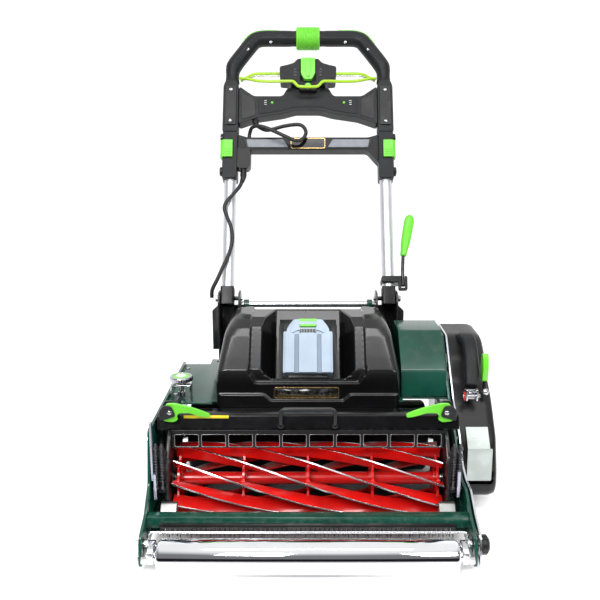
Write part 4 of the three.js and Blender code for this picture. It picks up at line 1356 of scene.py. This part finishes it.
# ---------------------------------------------------------------- covers at the right-hand side
@dataclass
class RightSide(Assembly):
    """The gear cover, the transmission cover with its window plate, and the grab handle with its clevis."""

    outer: float = 383.6
    inner: float = 303.4

    def build(self) -> None:
        """Makes every piece at the right-hand side."""
        self.gear_cover()
        self.transmission_cover()
        self.window()
        self.grab_handle()
        self.clevis()
        self.guard_fixings()

    def gear_cover(self) -> None:
        """Folds the green cover over the drive motor."""
        side = [(320, 210), (336, 262), (414, 330), (506, 330), (515, 318), (515, 210)]
        hollow = [(323, 190), (339, 261), (415.5, 327), (505, 327), (512, 317), (512, 190)]
        cover = prism(rounded(side, 5, 3), 195.4, 289.4, "X")
        tool = prism(hollow, 198, 286.6, "X")
        self.piece("gear_cover_skin", cover, GREEN, "green_paint", ["gear_cover"], edge=1.4, segments=3,
                   carve=[tool, rod(12, 280, 300, "X", (405, 250))])

    def profile(self, inset: float) -> list[Flat]:
        """The transmission cover's outline in (y, z), drawn in by inset."""
        i = inset
        return rounded([
            (229 + i, 36 + i), (229 + i, 72), (251 + i, 144), (309 + i, 206), (352 + i, 236),
            (378 + i, 280 - i), (436, 314 - i), (544, 314 - i), (571 - i, 290), (571 - i, 62),
            (540, 21 + i), (252, 21 + i),
        ], 16, 4)

    def transmission_cover(self) -> None:
        """Moulds the black cover with its raised rim."""
        body = lofted([[(x, y, z) for y, z in self.profile(i)] for x, i in
                       ((self.inner, 0.0), (368.0, 0.0), (379.0, 4.0), (self.outer, 13.0))])
        recess = prism(self.profile(26), 380.5, 400, "X")
        pocket = block((314, 374), (200, 237), (56, 132), 4, "Y")
        shelf = prism([(200, 132), (238, 132), (276, 172), (240, 200), (200, 200)], 314, 374, "X")
        hollow = prism(self.profile(5), 290, 376, "X")
        self.shop.moulded("transmission_shell", body, BASE, COVER_BLACK, "chassis", "black_plastic",
                          ["transmission_cover"], carve=[recess, pocket, shelf, hollow], voxel=2.4,
                          rounds=4)

    def window(self) -> None:
        """Screws the folded steel plate to the front of the cover."""
        upright = block((321, 371), (234.5, 236.3), (62, 131), 3, "Y")
        fold = [(234.5, 130), (236.3, 129), (268, 164), (266.5, 165.5)]
        self.piece("window_plate", upright + prism(fold, 321, 366, "X"), PLATE, "steel_plate", edge=0.4,
                   weld=True)
        lean = Matrix.Translation((336, 253, 147.5)) @ Matrix.Rotation(math.radians(-42), 4, "X")
        screw = domed(4.6, 2.2, 0, "Y", (0, 0)).moved(lean @ Matrix.Rotation(math.pi, 4, "X"))
        self.piece("window_screw", screw, FASTENER, "steel_plate", edge=0.0)

    def grab_handle(self) -> None:
        """Moulds the thick handle that arches over the cover."""
        route = [(338, 446, 300), (339, 434, 304), (342, 410, 313), (343, 386, 314), (343, 362, 300),
                 (340, 326, 266), (335, 298, 240)]
        path = bowed(route, 5)
        section = rounded(rectangle(-14.8, 14.8, -13.5, 13.5), 9, 4)
        last = len(path) - 1
        sizes = [1.0 if 3 < i < last - 2 else 0.9 for i in range(last + 1)]
        self.piece("grab_handle_grip", swept(path, section, sizes, across=(1, 0, 0)), GRIP, "charcoal_grip",
                   ["grab_handle"], edge=2.0, segments=3)
        seam = [p + Vector((0, -7.4, 11.2)) for p in path[8:-3]]
        self.piece("grab_handle_seam", swept(seam, 0.8, sides=6), RUBBER, "charcoal_grip", edge=0.0)

    def clevis(self) -> None:
        """Bolts the clevis under the grab handle's front end."""
        cheeks = together(block(x, (279, 300), (214, 240), 5, "X") for x in ((322, 325.5), (343, 346.5)))
        back = block((322, 346.5), (296, 300), (214, 236))
        bolt = hex_bolt(5.2, -5, 322, "X", (288, 224)) + rod(3.4, 318, 351, "X", (288, 224))
        nut = hex_bolt(5.2, 5, 346.5, "X", (288, 224))
        self.piece("clevis", cheeks + back, FASTENER, "steel_plate", edge=0.6)
        self.piece("clevis_bolt", bolt + nut, FASTENER, "steel_plate", edge=0.4)
        face = domed(5.5, 3, 0, "Y", (334, 225)).moved(Matrix.Diagonal((1, -1, 1, 1)))
        self.piece("clevis_front_screw", face.shifted(y=294), FASTENER, "steel_plate", edge=0.0)
        tag = block((318.2, 321.6), (282, 292), (216, 232), 1.5, "X")
        self.piece("clevis_red_washer", tag, RED_PLASTIC, "steel_plate", edge=0.4)

    def guard_fixings(self) -> None:
        """Puts bolts and spacers through the outer guard plate."""
        spots = ((134, 60), (240, 150), (300, 120), (470, 292), (540, 200))
        heads = together(hex_bolt(6, 5, 303.1, "X", spot) for spot in spots[:1])
        spacers = together(rod(6, 295.1, 299.4, "X", spot) for spot in spots)
        self.piece("guard_bolts", heads + spacers, FASTENER, "steel_plate", edge=0.4)


@dataclass
class SideLever(Assembly):
    """The lime height lever at the far right, with its black stem and chrome ball."""

    body: ClassVar[str] = "side_lever"
    pivot: Spot = (366.0, 308.0, 226.0)

    def build(self) -> None:
        """Makes the lever's paddle, stem and ball."""
        x, y, z = self.pivot
        outline = rounded([(2, 20), (13, 18), (23, 40), (24, 70), (17, 79), (5, 78), (-2, 52)], 7)
        paddle = prism(outline, -6, 6, "X").shifted(x, y, z)
        stem = rod(4.6, 3, 22, "Z", (0, 4), 16).shifted(x, y, z)
        ball = turned([(8 * math.cos(a), 8 * math.sin(a)) for a in
                       [math.radians(d) for d in range(-88, 89, 16)]], "Z", (0, 0), 20).shifted(x, y, z)
        self.piece("side_lever_paddle", paddle, LIME, "lime_plastic", ["side_lever"], edge=3.2, segments=4)
        self.piece("side_lever_stem", stem, COVER_BLACK, "black_plastic", edge=0.5)
        self.piece("side_lever_ball", ball, FASTENER, "steel_plate", edge=0.0)


# ---------------------------------------------------------------- height knob
@dataclass
class HeightKnob(Assembly):
    """The height-of-cut dial: a silver rim, a lime ring and a white centre on a threaded stem."""

    body: ClassVar[str] = "height_knob"
    centre: Flat = (-262.0, 312.0)
    low: float = 249.4

    def build(self) -> None:
        """Makes the dial, its rings and its stem."""
        z = self.low
        rim = [(5, z), (21.5, z), (23.8, z + 1.5), (23.8, z + 8), (22.4, z + 10.2), (17.5, z + 10.6),
               (17, z + 8.8), (5, z + 8.8)]
        flutes = together(rod(1.5, z + 1.6, z + 8.2, "Z", spot, 8)
                          for spot in circle(22.9, 30, self.centre))
        self.ring("knob_rim", rim, FASTENER, ["height_knob"], flutes)
        self.ring("knob_lime_ring", [(10, z + 8), (17, z + 8), (17, z + 10.2), (10.6, z + 10.9)], LIME)
        centre = [(0.01, z + 8), (10.4, z + 8), (10.4, z + 10.8), (6, z + 11.4), (0.01, z + 11.5)]
        self.ring("knob_centre", centre, WHITE)
        stem = rod(4.9, 211.6, z, "Z", self.centre, 20) + rod(9, 243.7, z, "Z", self.centre, 20)
        self.ring("knob_stem", [(5, 214), (7.4, 214), (7.4, 226), (5, 226)], FASTENER, (), stem)

    def ring(self, name: str, profile: Sequence[Flat], finish: Finish, stands_for: Sequence[str] = (),
             more: Solid | None = None) -> None:
        """Turns one ring of the knob about its stem."""
        solid = turned(profile, "Z", self.centre, 48)
        self.piece(name, solid + more if more else solid, finish, "steel_plate", stands_for, edge=0.4)


# ---------------------------------------------------------------- handle foot
@dataclass
class HandleFoot(Assembly):
    """The bolts, collars and cross rod where the handle meets the deck."""

    def build(self) -> None:
        """Makes the fixings of both brackets."""
        outer = hex_bolt(8, 7, 208, "X", (547.7, 370.8)) + hex_bolt(5.5, -5, 157, "X", (547.7, 370.8))
        self.piece("bracket_pivot_bolts", both_sides(outer), FASTENER, "steel_plate", edge=0.5)
        collars = turned([(7.7, 138), (11.5, 138), (11.5, 150), (7.7, 150)], "X", (560, 354), 32)
        self.piece("cross_rod_collars", both_sides(collars), GREEN, "green_paint", edge=0.8)
        rod_ends = rod(7.5, -156.5, 156.5, "X", (560, 354), 48)
        self.piece("cross_rod_bar", rod_ends, STEEL, "chrome_plate", ["cross_rod"], edge=0.4)
        feet = together(hex_bolt(5.5, 5, 213.6, "Z", (x, y)) for y in (540, 574) for x in (172, 194))
        self.piece("bracket_foot_bolts", both_sides(feet), FASTENER, "steel_plate", edge=0.4)


# ---------------------------------------------------------------- lower handle
@dataclass
class LowerHandle(Assembly):
    """The two aluminium legs, and the crossbar with its clamps, labels, badge, cable box and latches."""

    place: ClassVar[Matrix] = HANDLE
    body: ClassVar[str] = "lower_handle"
    leg: float = 187.0
    radius: float = 14.5
    fold: float = 377.0

    def build(self) -> None:
        """Makes the lower handle."""
        for name, side in (("left", -1), ("right", 1)):
            tube = rod(self.radius, -50, 340, "Z", (side * self.leg, 0), 64)
            self.piece(f"leg_tube_{name}", tube, ALUMINIUM, "aluminium_tube", [f"handle_leg_{name}"],
                       edge=1.0)
        socket = block((171.4, 202.6), (-17.5, 17.5), (-52, -9), 5)
        self.piece("leg_sockets", both_sides(socket), COVER_BLACK, "black_metal", edge=1.6, segments=3)
        self.crossbar()
        self.plates()
        self.latches()
        self.collar()

    def crossbar(self) -> None:
        """Moulds the crossbar, its clamps and the cable box as three closed shells."""
        clamp = block((170, 206), (-22, 22), (256, self.fold - 0.3), 6, "Y")
        lobes = rod(11, 204, 212, "X", (-8, 277), 40) + rod(11, 204, 212, "X", (-8, 364), 40)
        bar = [(-172, 300), (-143, 331), (143, 331), (172, 296), (172, 372), (146, 364), (-146, 364),
               (-172, 372)]
        tube = prism(rounded(bar, 6), -14, 14, "Y")
        self.piece("crossbar_beam", tube, CHARCOAL, "charcoal_grip", ["lower_crossbar"], edge=3.0,
                   segments=4)
        self.piece("crossbar_clamps", both_sides(clamp), CHARCOAL, "charcoal_grip", edge=3.2, segments=4)
        self.piece("crossbar_lobes", both_sides(lobes), COVER_BLACK, "charcoal_grip", edge=1.6, segments=3)
        pins = rod(4.6, 211.6, 213.4, "X", (-8, 277), 24) + rod(4.6, 211.6, 213.4, "X", (-8, 364), 24)
        self.piece("lobe_pins", both_sides(pins), FASTENER, "steel_plate", edge=0.6)
        box = prism(rounded([(-174, 290), (-167, 282), (-144, 282), (-138, 290), (-138, 334), (-174, 334)],
                            3), -20, 8, "Y")
        gland = turned([(4.8, 269), (7, 269), (7.6, 272), (7.6, 284), (4.8, 284)], "Z", (-155, -10), 32)
        self.piece("cable_box", box, COVER_BLACK, "charcoal_grip", edge=2.2, segments=3)
        self.piece("cable_gland", gland, COVER_BLACK, "cable_rubber", edge=0.6)

    def plates(self) -> None:
        """Sets the blank labels and the blank framed badge on the crossbar's face."""
        face = rounded([(-150, 335), (150, 335), (156, 361), (-156, 361)], 4)
        self.piece("crossbar_face", prism(face, -15.2, -13, "Y"), COVER_BLACK, "charcoal_grip", edge=0.8)
        strip = [(48, 338), (145, 338), (149, 358), (60, 358)]
        strips = both_sides(prism(rounded(strip, 2), -15.9, -14, "Y"))
        self.piece("crossbar_labels", strips, LABEL, "charcoal_grip", edge=0.2)
        outer = rounded(rectangle(-42, 42, 333.5, 361), 5)
        inner = rounded(rectangle(-40, 40, 335.5, 359), 4)
        self.piece("crossbar_badge_frame", prism(outer, -17.4, -14, "Y", [inner]), GOLD, "charcoal_grip",
                   edge=0.3)
        self.piece("crossbar_badge_plate", prism(inner, -16.6, -14, "Y"), GLOSS_BLACK, "charcoal_grip",
                   edge=0.2)

    def latches(self) -> None:
        """Moulds the two lime latches that wrap round the clamps, with their finger ribs."""
        tab = [(181, -22.6), (181, -28), (205, -28), (211, -22), (211, -2), (206.8, -2), (206.8, -20),
               (204, -22.6)]
        latch = prism(rounded(tab, 2), 309, 352, "Z")
        ribs = together(block((184, 204), (-29, -27), (t - 1, t + 1), 0.8, "Y") for t in (316, 322, 328))
        for name, solid in (("latch_right", latch + ribs), ("latch_left", (latch + ribs).mirrored())):
            self.piece(f"{name}_tab", solid, LIME, "lime_plastic", [name], body=name, edge=1.0, segments=3)

    def collar(self) -> None:
        """Pins the clutch lever's collar on the right leg."""
        pin = rod(2.9, 212, 228, "X", (-15, -6), 20) + domed(4.6, 2, 228, "X", (-15, -6), 20)
        self.piece("collar_pin", pin, FASTENER, "steel_plate", edge=0.0)


# ---------------------------------------------------------------- upper handle
@dataclass
class UpperHandle(Assembly):
    """The casings, the grip with its lime trim, the console, the control pod and the bails."""

    place: ClassVar[Matrix] = HANDLE
    body: ClassVar[str] = "upper_handle"
    top: float = 516.0
    grip_high: float = 640.0

    def build(self) -> None:
        """Makes the upper handle."""
        self.casings()
        self.grip()
        self.console()
        self.pod()
        self.bails()
        self.clutch()

    def casings(self) -> None:
        """Moulds the side casings, their front panels and their screws."""
        side = [(170, 377), (208, 377), (208, 500), (202, self.top), (176, self.top), (170, 500)]
        shell = prism(rounded(side, 6), -20, 22, "Y")
        panel = prism(rounded([(175, 394), (203, 394), (203, 498), (175, 498)], 4), -23, -19, "Y")
        seam = block((169.4, 208.6), (0.4, 1.8), (380, 498), 0.6, "Y")
        for name, part in (("right", shell), ("left", shell.mirrored())):
            self.piece(f"casing_{name}", part, CHARCOAL, "charcoal_grip", [f"handle_casing_{name}"],
                       edge=4.0, segments=4)
        self.piece("casing_panels", both_sides(panel), COVER_BLACK, "charcoal_grip", edge=1.4, segments=3)
        self.piece("casing_seams", both_sides(seam), COVER_BLACK, "charcoal_grip", edge=0.2)
        screws = [self.screw(189, -23, 487), self.screw(189, -23, 404)]
        self.piece("casing_screws", both_sides(together(screws)), FASTENER, "steel_plate", edge=0.2)

    @staticmethod
    def screw(x: float, y: float, t: float) -> Solid:
        """A small cross-headed screw that faces forward."""
        head = turned([(0.01, y), (0.9, y), (0.9, y + 0.9), (3.4, y + 0.4), (3.8, y + 1.4),
                       (0.01, y + 1.4)], "Y",
                      (x, t), 20)
        return head.shifted(y=-1.0)

    def line(self) -> list[Vector]:
        """The grip's centre line."""
        bend = [(188, 0, self.top + 0.3), (188, 0, 535), (187, 0, 552), (180, 0, 570), (140, 0, 627),
                (126, 0, 637), (108, 0, 640)]
        left = [(-x, y, z) for x, y, z in reversed(bend)]
        return bowed([*bend, (54, 0, 640), (0, 0, 640), (-54, 0, 640), *left], 6, 0.4)

    def grip(self) -> None:
        """Moulds the grip loop, its trim, its seam, its screws and the ribbed lime sleeve."""
        line = self.line()
        sizes = []
        for spot in line:
            low = max(0.0, min(1.0, (560 - spot.z) / 44))
            near = max(0.0, 1 - abs(abs(spot.x) - 38) / 10)
            sizes.append(0.99 - 0.17 * math.sin(low * math.pi * 0.8) - 0.05 * near)
        turns = [2 * math.pi * k / 36 for k in range(36)]
        section = [(19.6 * math.cos(a), 20 * math.sin(a)) for a in turns]
        self.piece("grip_moulding", swept(line, section, sizes, across=(0, 1, 0)), GRIP, "charcoal_grip",
                   ["grip_loop"], edge=1.0, segments=3)
        self.trim(line)
        ribs = [(20.3, -29.5), (25, -29.5), (28, -27)]
        for i in range(13):
            x = -26 + 4 * i
            ribs += [(28.4, x), (28.4, x + 2.2), (27.2, x + 2.8), (27.2, x + 3.6)]
        ribs += [(28, 27.5), (25, 29.5), (20.3, 29.5)]
        self.piece("sleeve_ribbed", turned(ribs, "X", (0, self.grip_high), 56), LIME_SOFT, "lime_plastic",
                   ["centre_sleeve"], edge=0.4)
        screws = together([self.screw(93, -19, 619), self.screw(150, -18, 600)])
        self.piece("grip_screws", both_sides(screws), FASTENER, "steel_plate", edge=0.2)

    def trim(self, line: Sequence[Vector]) -> None:
        """Lays the lime trim and the parting line on the grip."""
        strips, seams = [], []
        corner = [i for i, p in enumerate(line) if 64 < p.x < 160]
        for offset, radius, store in ((Vector((0, -6, 18.2)), 2.6, strips),
                                      (Vector((0, -19.2, -3)), 0.7, seams)):
            run = corner if store is strips else [i for i, p in enumerate(line) if 34 < p.x < 182
                                                  and p.z > 566]
            path = []
            for i in run:
                ahead = (line[i + 1] - line[i - 1]).normalized()
                out = Vector((0, 1, 0)).cross(ahead).normalized()
                out = out if out.z > 0 else -out
                path.append(line[i] + Vector((0, 1, 0)) * offset.y + out * offset.z)
            ends = [0.5 if i in (0, len(path) - 1) else 1.0 for i in range(len(path))]
            store.append(swept(path, radius, ends, sides=10))
        self.piece("grip_trim", both_sides(together(strips)), LIME, "lime_plastic", edge=0.0)
        self.piece("grip_seam", both_sides(together(seams)), COVER_BLACK, "charcoal_grip", edge=0.0)

    def console(self) -> None:
        """Moulds the console bridge, its end pockets and its plain marks."""
        bridge = [(-169.7, 398), (-169.7, 500), (-133, 473), (-62, 473), (-50, 496), (50, 496), (62, 473),
                  (133, 473), (169.7, 500), (169.7, 398), (122, 416), (60, 426), (30, 435), (-30, 435),
                  (-60, 426), (-122, 416)]
        self.piece("console_bridge", prism(rounded(bridge, 8), -16, 15, "Y"), CHARCOAL, "charcoal_grip",
                   ["console"], edge=3.0, segments=4)
        pocket = rounded([(128, 422), (162, 410), (163, 482), (131, 464)], 5)
        self.piece("console_pockets", both_sides(prism(pocket, -16.9, -15, "Y")), COVER_BLACK,
                   "charcoal_grip", edge=0.9)
        panel = rounded([(-120, 424), (-62, 434), (-32, 443), (32, 443), (62, 434), (120, 424), (122, 465),
                         (58, 465), (46, 488), (-46, 488), (-58, 465), (-122, 465)], 6)
        self.piece("console_panel", prism(panel, -17.2, -15, "Y"), GRIP, "charcoal_grip", edge=1.0)
        ticks = together(block((x - 3, x + 3), (-17.6, -16.8), (t - 0.8, t + 0.8)) for x in (-104, 104)
                         for t in (450, 455, 460))
        self.piece("console_marks", ticks, WHITE, "charcoal_grip", edge=0.0)
        dots = both_sides(turned([(0.01, -17.7), (2.8, -17.7), (3, -16.8), (0.01, -16.8)], "Y", (88, 455),
                                 20))
        self.piece("console_dots", dots, LIME, "charcoal_grip", edge=0.0)

    def pod(self) -> None:
        """Moulds the control pod, its dial marks, the tapering key and the start button in its ring."""
        outline = [(-44, 496.3), (-49, 513), (-69, 514), (-70, 546), (-52, 550), (-34, 556), (-26, 567),
                   (26, 567), (34, 556), (52, 550), (70, 546), (69, 514), (49, 513), (44, 496.3)]
        pocket = block((-19.2, 19.2), (-40, -24.4), (504.6, 580), 3, "Y")
        self.piece("pod_shell", prism(rounded(outline, 6), -30, 20, "Y"), CHARCOAL, "charcoal_grip",
                   ["control_pod"], edge=2.6, segments=4, carve=[pocket])
        apron = prism(rounded(rectangle(-22, 22, 480, 503.5), 8), -30, -16.3, "Y")
        well = rod(8.4, -40, -19, "Y", (0, 492), 32)
        self.piece("pod_apron", apron, CHARCOAL, "charcoal_grip", edge=2.0, segments=3, carve=[well])
        ring = turned([(8.5, -30.2), (12, -30.2), (11.2, -32), (9, -32)], "Y", (0, 492), 40)
        self.piece("pod_button_ring", ring, COVER_BLACK, "charcoal_grip", edge=0.3)
        marks = together(block((x - 3.4, x + 3.4), (-30.6, -29.6), (t - 0.7, t + 0.7)) for x in (-31, 31)
                         for t in (522, 530, 538))
        self.piece("pod_marks", marks, LABEL, "charcoal_grip", edge=0.0)
        rails = both_sides(block((22, 24), (-31.6, -29), (508, 553), 1, "Y"))
        self.piece("pod_rails", rails, COVER_BLACK, "charcoal_grip", edge=0.5)
        key = rounded([(-9, 506), (-17.6, 523), (-17.6, 564), (17.6, 564), (17.6, 523), (9, 506)], 4)
        ridge = rounded([(-4, 512), (-6, 525), (-6, 557), (6, 557), (6, 525), (4, 512)], 2.5)
        self.piece("start_key_paddle", prism(key, -40, -28.5, "Y") + prism(ridge, -42, -39, "Y"), LIME,
                   "lime_plastic", ["start_key"], body="start_key", edge=1.6, segments=3)
        cap = turned([(0.01, -28), (8, -28), (8, -32.4), (6.4, -34), (0.01, -34)], "Y", (0, 492), 36)
        self.piece("start_button_cap", cap, LIME, "lime_plastic", ["start_button"], body="start_button",
                   edge=0.6)

    def bails(self) -> None:
        """Bends the two lime bails and the thin grey rod under the rear one."""
        z = 526
        rear = [(167, 6, z), (159, 8, z + 6), (148, 18, z + 20), (130, 26, z + 31), (60, 27, z + 32)]
        front = [(168.5, -8, z), (158, -12, z - 4), (145, -24, z - 12), (122, -34, z - 22),
                 (92, -38, z - 26), (38, -41, z - 27), (22, -45, z - 43)]
        under = [(164, 3, z + 0.5), (156, 5, z + 4), (144, 14, z + 13), (126, 21, z + 22), (60, 22, z + 23)]
        self.bail("rear_bail", rear, 3.6, LIME_WIRE, "lime_wire", ["rear_bail"])
        self.bail("front_bail", front, 3.6, LIME_WIRE, "lime_wire", ["front_bail"])
        self.bail("rear_bail", under, 1.7, STEEL, "steel_plate", [])

    def bail(self, body: str, half: Sequence[Spot], radius: float, finish: Finish, slot: str,
             stands_for: Sequence[str]) -> None:
        """Bends one bar across from its right-hand half."""
        points = [*half, *[(-x, y, z) for x, y, z in reversed(half)]]
        name = f"{body}_bar" if stands_for else f"{body}_stiffener"
        self.piece(name, swept(bowed(points, 6, 0.3), radius, sides=16), finish, slot, stands_for,
                   body=body, edge=0.0)

    def clutch(self) -> None:
        """Makes the clutch lever's bent arm and its lime grip."""
        arm = [(220, -15, -10), (220, -15, 6), (220, -16, 32), (222, -17, 63)]
        eye = block((217.4, 222.6), (-20, -10), (-11, 4), 4, "X")
        self.piece("clutch_arm_bar", swept(bowed(arm, 6), 3.9, sides=18) + eye, BLACK_PAINT, "black_metal",
                   ["clutch_arm"], body="clutch_lever", edge=0.5)
        lean = Matrix.Translation((222, -17, 62.5)) @ Matrix.Rotation(math.radians(11), 4, "Y")
        rings = []
        for t, wide, deep in ((0, 6.5, 6), (3, 7.6, 7), (14, 8.2, 7.4), (30, 10.6, 7.8), (60, 11.6, 8),
                              (88, 11.8, 8), (97, 9.6, 7), (101.6, 5.6, 4.4)):
            turns = [2 * math.pi * k / 32 for k in range(32)]
            rings.append([(wide * math.cos(a), deep * math.sin(a), t) for a in turns])
        self.piece("clutch_grip_sleeve", lofted(rings).moved(lean), LIME, "lime_plastic", ["clutch_grip"],
                   body="clutch_lever", edge=0.0)


# ---------------------------------------------------------------- cords
CONSOLE_ROUTE: tuple[Spot, ...] = (
    (-128, -5, 411), (-127, -9, 402), (-119, -20, 388), (-97, -26, 377), (-56, -26, 388), (-19, -26, 391),
    (-5, -27, 373), (-12, -30, 353), (-29, -34, 346), (-55, -37, 356), (-92, -38, 374), (-118, -34, 384),
    (-135, -22, 386), (-142, -9, 376), (-143, -6, 366),
)
POWER_ROUTE: tuple[Spot, ...] = (
    (-155, -10, 268.8), (-156, -13, 256), (-163, -20, 234), (-178, -25, 212), (-192, -26, 194),
    (-197, -25, 178), (-191, -24, 158), (-182, -24, 136), (-177, -24, 112), (-178, -24, 88),
    (-186, -24, 60), (-197, -24, 34), (-209, -22, 6), (-221, -16, -18), (-223, -6, -34),
)


@dataclass
class Cords(Assembly):
    """The two free cables of the handle."""

    place: ClassVar[Matrix] = HANDLE
    body: ClassVar[str] = "upper_handle"
    radius: float = 4.5
    relief_length: float = 22.0

    def build(self) -> None:
        """Makes every cable and its strain relief."""
        self.cable("console_cable_sheath", CONSOLE_ROUTE, "upper_handle", ["console_cable"])
        self.blended(self.cable("power_cable_sheath", POWER_ROUTE, "lower_handle", ["power_cable"]))
        self.relief("console_cable_relief", CONSOLE_ROUTE, "upper_handle")
        self.relief("power_cable_relief", POWER_ROUTE, "lower_handle")

    def cable(self, name: str, route: Sequence[Spot], body: str, nodes: Sequence[str]) -> bpy.types.Object:
        """Makes one free cable along its route.

        Args:
            name: the piece's name.
            route: the points that it passes through, in the handle frame.
            body: the body that it rides on.
            nodes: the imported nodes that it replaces.

        Returns:
            The cable.
        """
        path = bowed(route, 5)
        made = self.piece(name, swept(path, self.radius, sides=16), RUBBER, "cable_rubber", nodes,
                          body=body, edge=0.0)
        line = [HANDLE @ p for p in path]
        length = sum((b - a).length for a, b in zip(line, line[1:]))
        return made

    def blended(self, cable: bpy.types.Object) -> None:
        """Takes the power cable off its body and bakes its place into its points, so that it stays where it
        is as the handle folds.
        """
        cable.parent = None
        del cable["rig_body"]
        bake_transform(cable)

    def relief(self, name: str, route: Sequence[Spot], body: str) -> None:
        """Makes a ribbed, tapering sleeve where a cable starts."""
        path = bowed(route, 16)
        kept, run = [path[0]], 0.0
        for a, b in zip(path, path[1:]):
            run += (b - a).length
            if run > self.relief_length:
                break
            kept.append(b)
        last = len(kept) - 1
        sizes = [(1.75 - 0.6 * i / last) * (1.08 if i % 3 == 1 else 1.0) for i in range(last + 1)]
        self.piece(name, swept(kept, self.radius, sizes, sides=18), RUBBER, "cable_rubber", body=body,
                   edge=0.2)


# ---------------------------------------------------------------- main
def dress_nodes(shop: Workshop) -> None:
    """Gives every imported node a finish, so that those that stay on show are finished pieces."""
    for node, finish, edge in PACKED:
        shop.dress(node, finish, edge)


PACKED: tuple[tuple[str, Finish, float], ...] = (
    ("side_plate_left", GREEN, 0.8), ("side_plate_right", GREEN, 0.8), ("guard_plate_right", BRUSHED, 0.5),
    ("front_crossbar", GREEN, 0.4), ("roller_brush", BRISTLE, 0.0), ("deck_plate", GREEN, 0.6),
    ("transmission_cover", COVER_BLACK, 0.0), ("grab_handle", GRIP, 0.0), ("motor_hood", HOOD_BLACK, 0.0),
    ("battery_dock", COVER_BLACK, 0.6), ("gear_cover", GREEN, 0.0), ("drive_motor", CAST, 0.8),
    ("reel_motor", CAST, 0.8), ("knob_bracket", STEEL, 0.5), ("handle_bracket_left", BLACK_PAINT, 0.6),
    ("handle_bracket_right", BLACK_PAINT, 0.6), ("cross_rod", CHROME, 0.0), ("drive_chain", STEEL, 0.0),
    ("roller_bracket_left", STEEL, 0.5), ("roller_bracket_right", STEEL, 0.5),
    ("clamp_knob", COVER_BLACK, 0.6), ("scraper_rod", CHROME, 0.0), ("front_roller", ROLLER_CHROME, 0.0),
    ("height_knob", STEEL, 0.0), ("rear_roller_left", DRIVE_RUBBER, 0.0),
    ("rear_roller_right", DRIVE_RUBBER, 0.0), ("rear_axle", STEEL, 0.6), ("roller_sprocket", STEEL, 0.3),
    ("motor_sprocket", STEEL, 0.3), ("cassette_end_left", BLACK_PAINT, 0.6),
    ("cassette_end_right", BLACK_PAINT, 0.6), ("cassette_lid", LID_BLACK, 0.4),
    ("bottom_blade", BLACK_PAINT, 0.4), ("lift_handle", BLACK_PAINT, 0.0), ("reel", REEL_RED, 0.0),
    ("cam_lever_left", LIME, 0.5), ("cam_lever_right", LIME, 0.5), ("battery", BATTERY_SHELL, 0.0),
    ("battery_release", LIME, 0.0), ("handle_leg_left", ALUMINIUM, 0.0),
    ("handle_leg_right", ALUMINIUM, 0.0), ("lower_crossbar", CHARCOAL, 0.0),
    ("lever_collar", COVER_BLACK, 0.6), ("power_cable", RUBBER, 0.0), ("latch_left", LIME, 0.5),
    ("latch_right", LIME, 0.5), ("handle_casing_left", CHARCOAL, 0.0),
    ("handle_casing_right", CHARCOAL, 0.0), ("grip_loop", GRIP, 0.0), ("centre_sleeve", LIME_SOFT, 0.0),
    ("console", CHARCOAL, 0.8), ("control_pod", CHARCOAL, 0.8), ("console_cable", RUBBER, 0.0),
    ("rear_bail", LIME_WIRE, 0.0), ("front_bail", LIME_WIRE, 0.0), ("start_key", LIME, 0.0),
    ("start_button", LIME, 0.4), ("clutch_arm", BLACK_PAINT, 0.4), ("clutch_grip", LIME, 0.0),
    ("side_lever", LIME, 0.0),
)


def main() -> None:
    """Builds the studio and every sub-assembly."""
    logging.basicConfig(level=logging.INFO, format="%(name)s: %(message)s")
    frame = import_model()
    set_frames()
    Studio().build()
    shop = Workshop(frame)
    Cords(shop).build()
    dress_nodes(shop)
    for assembly in ASSEMBLIES:
        assembly(shop).build()
    LOG.info("%d pieces beside the packed nodes", len(shop.pieces))


ASSEMBLIES: tuple[type, ...] = (
    Chassis, FrontRoller, Reel, Cassette, Hood, Battery, RightSide, SideLever, HeightKnob, HandleFoot,
    LowerHandle, UpperHandle,
)


if __name__ == "__main__":
    main()
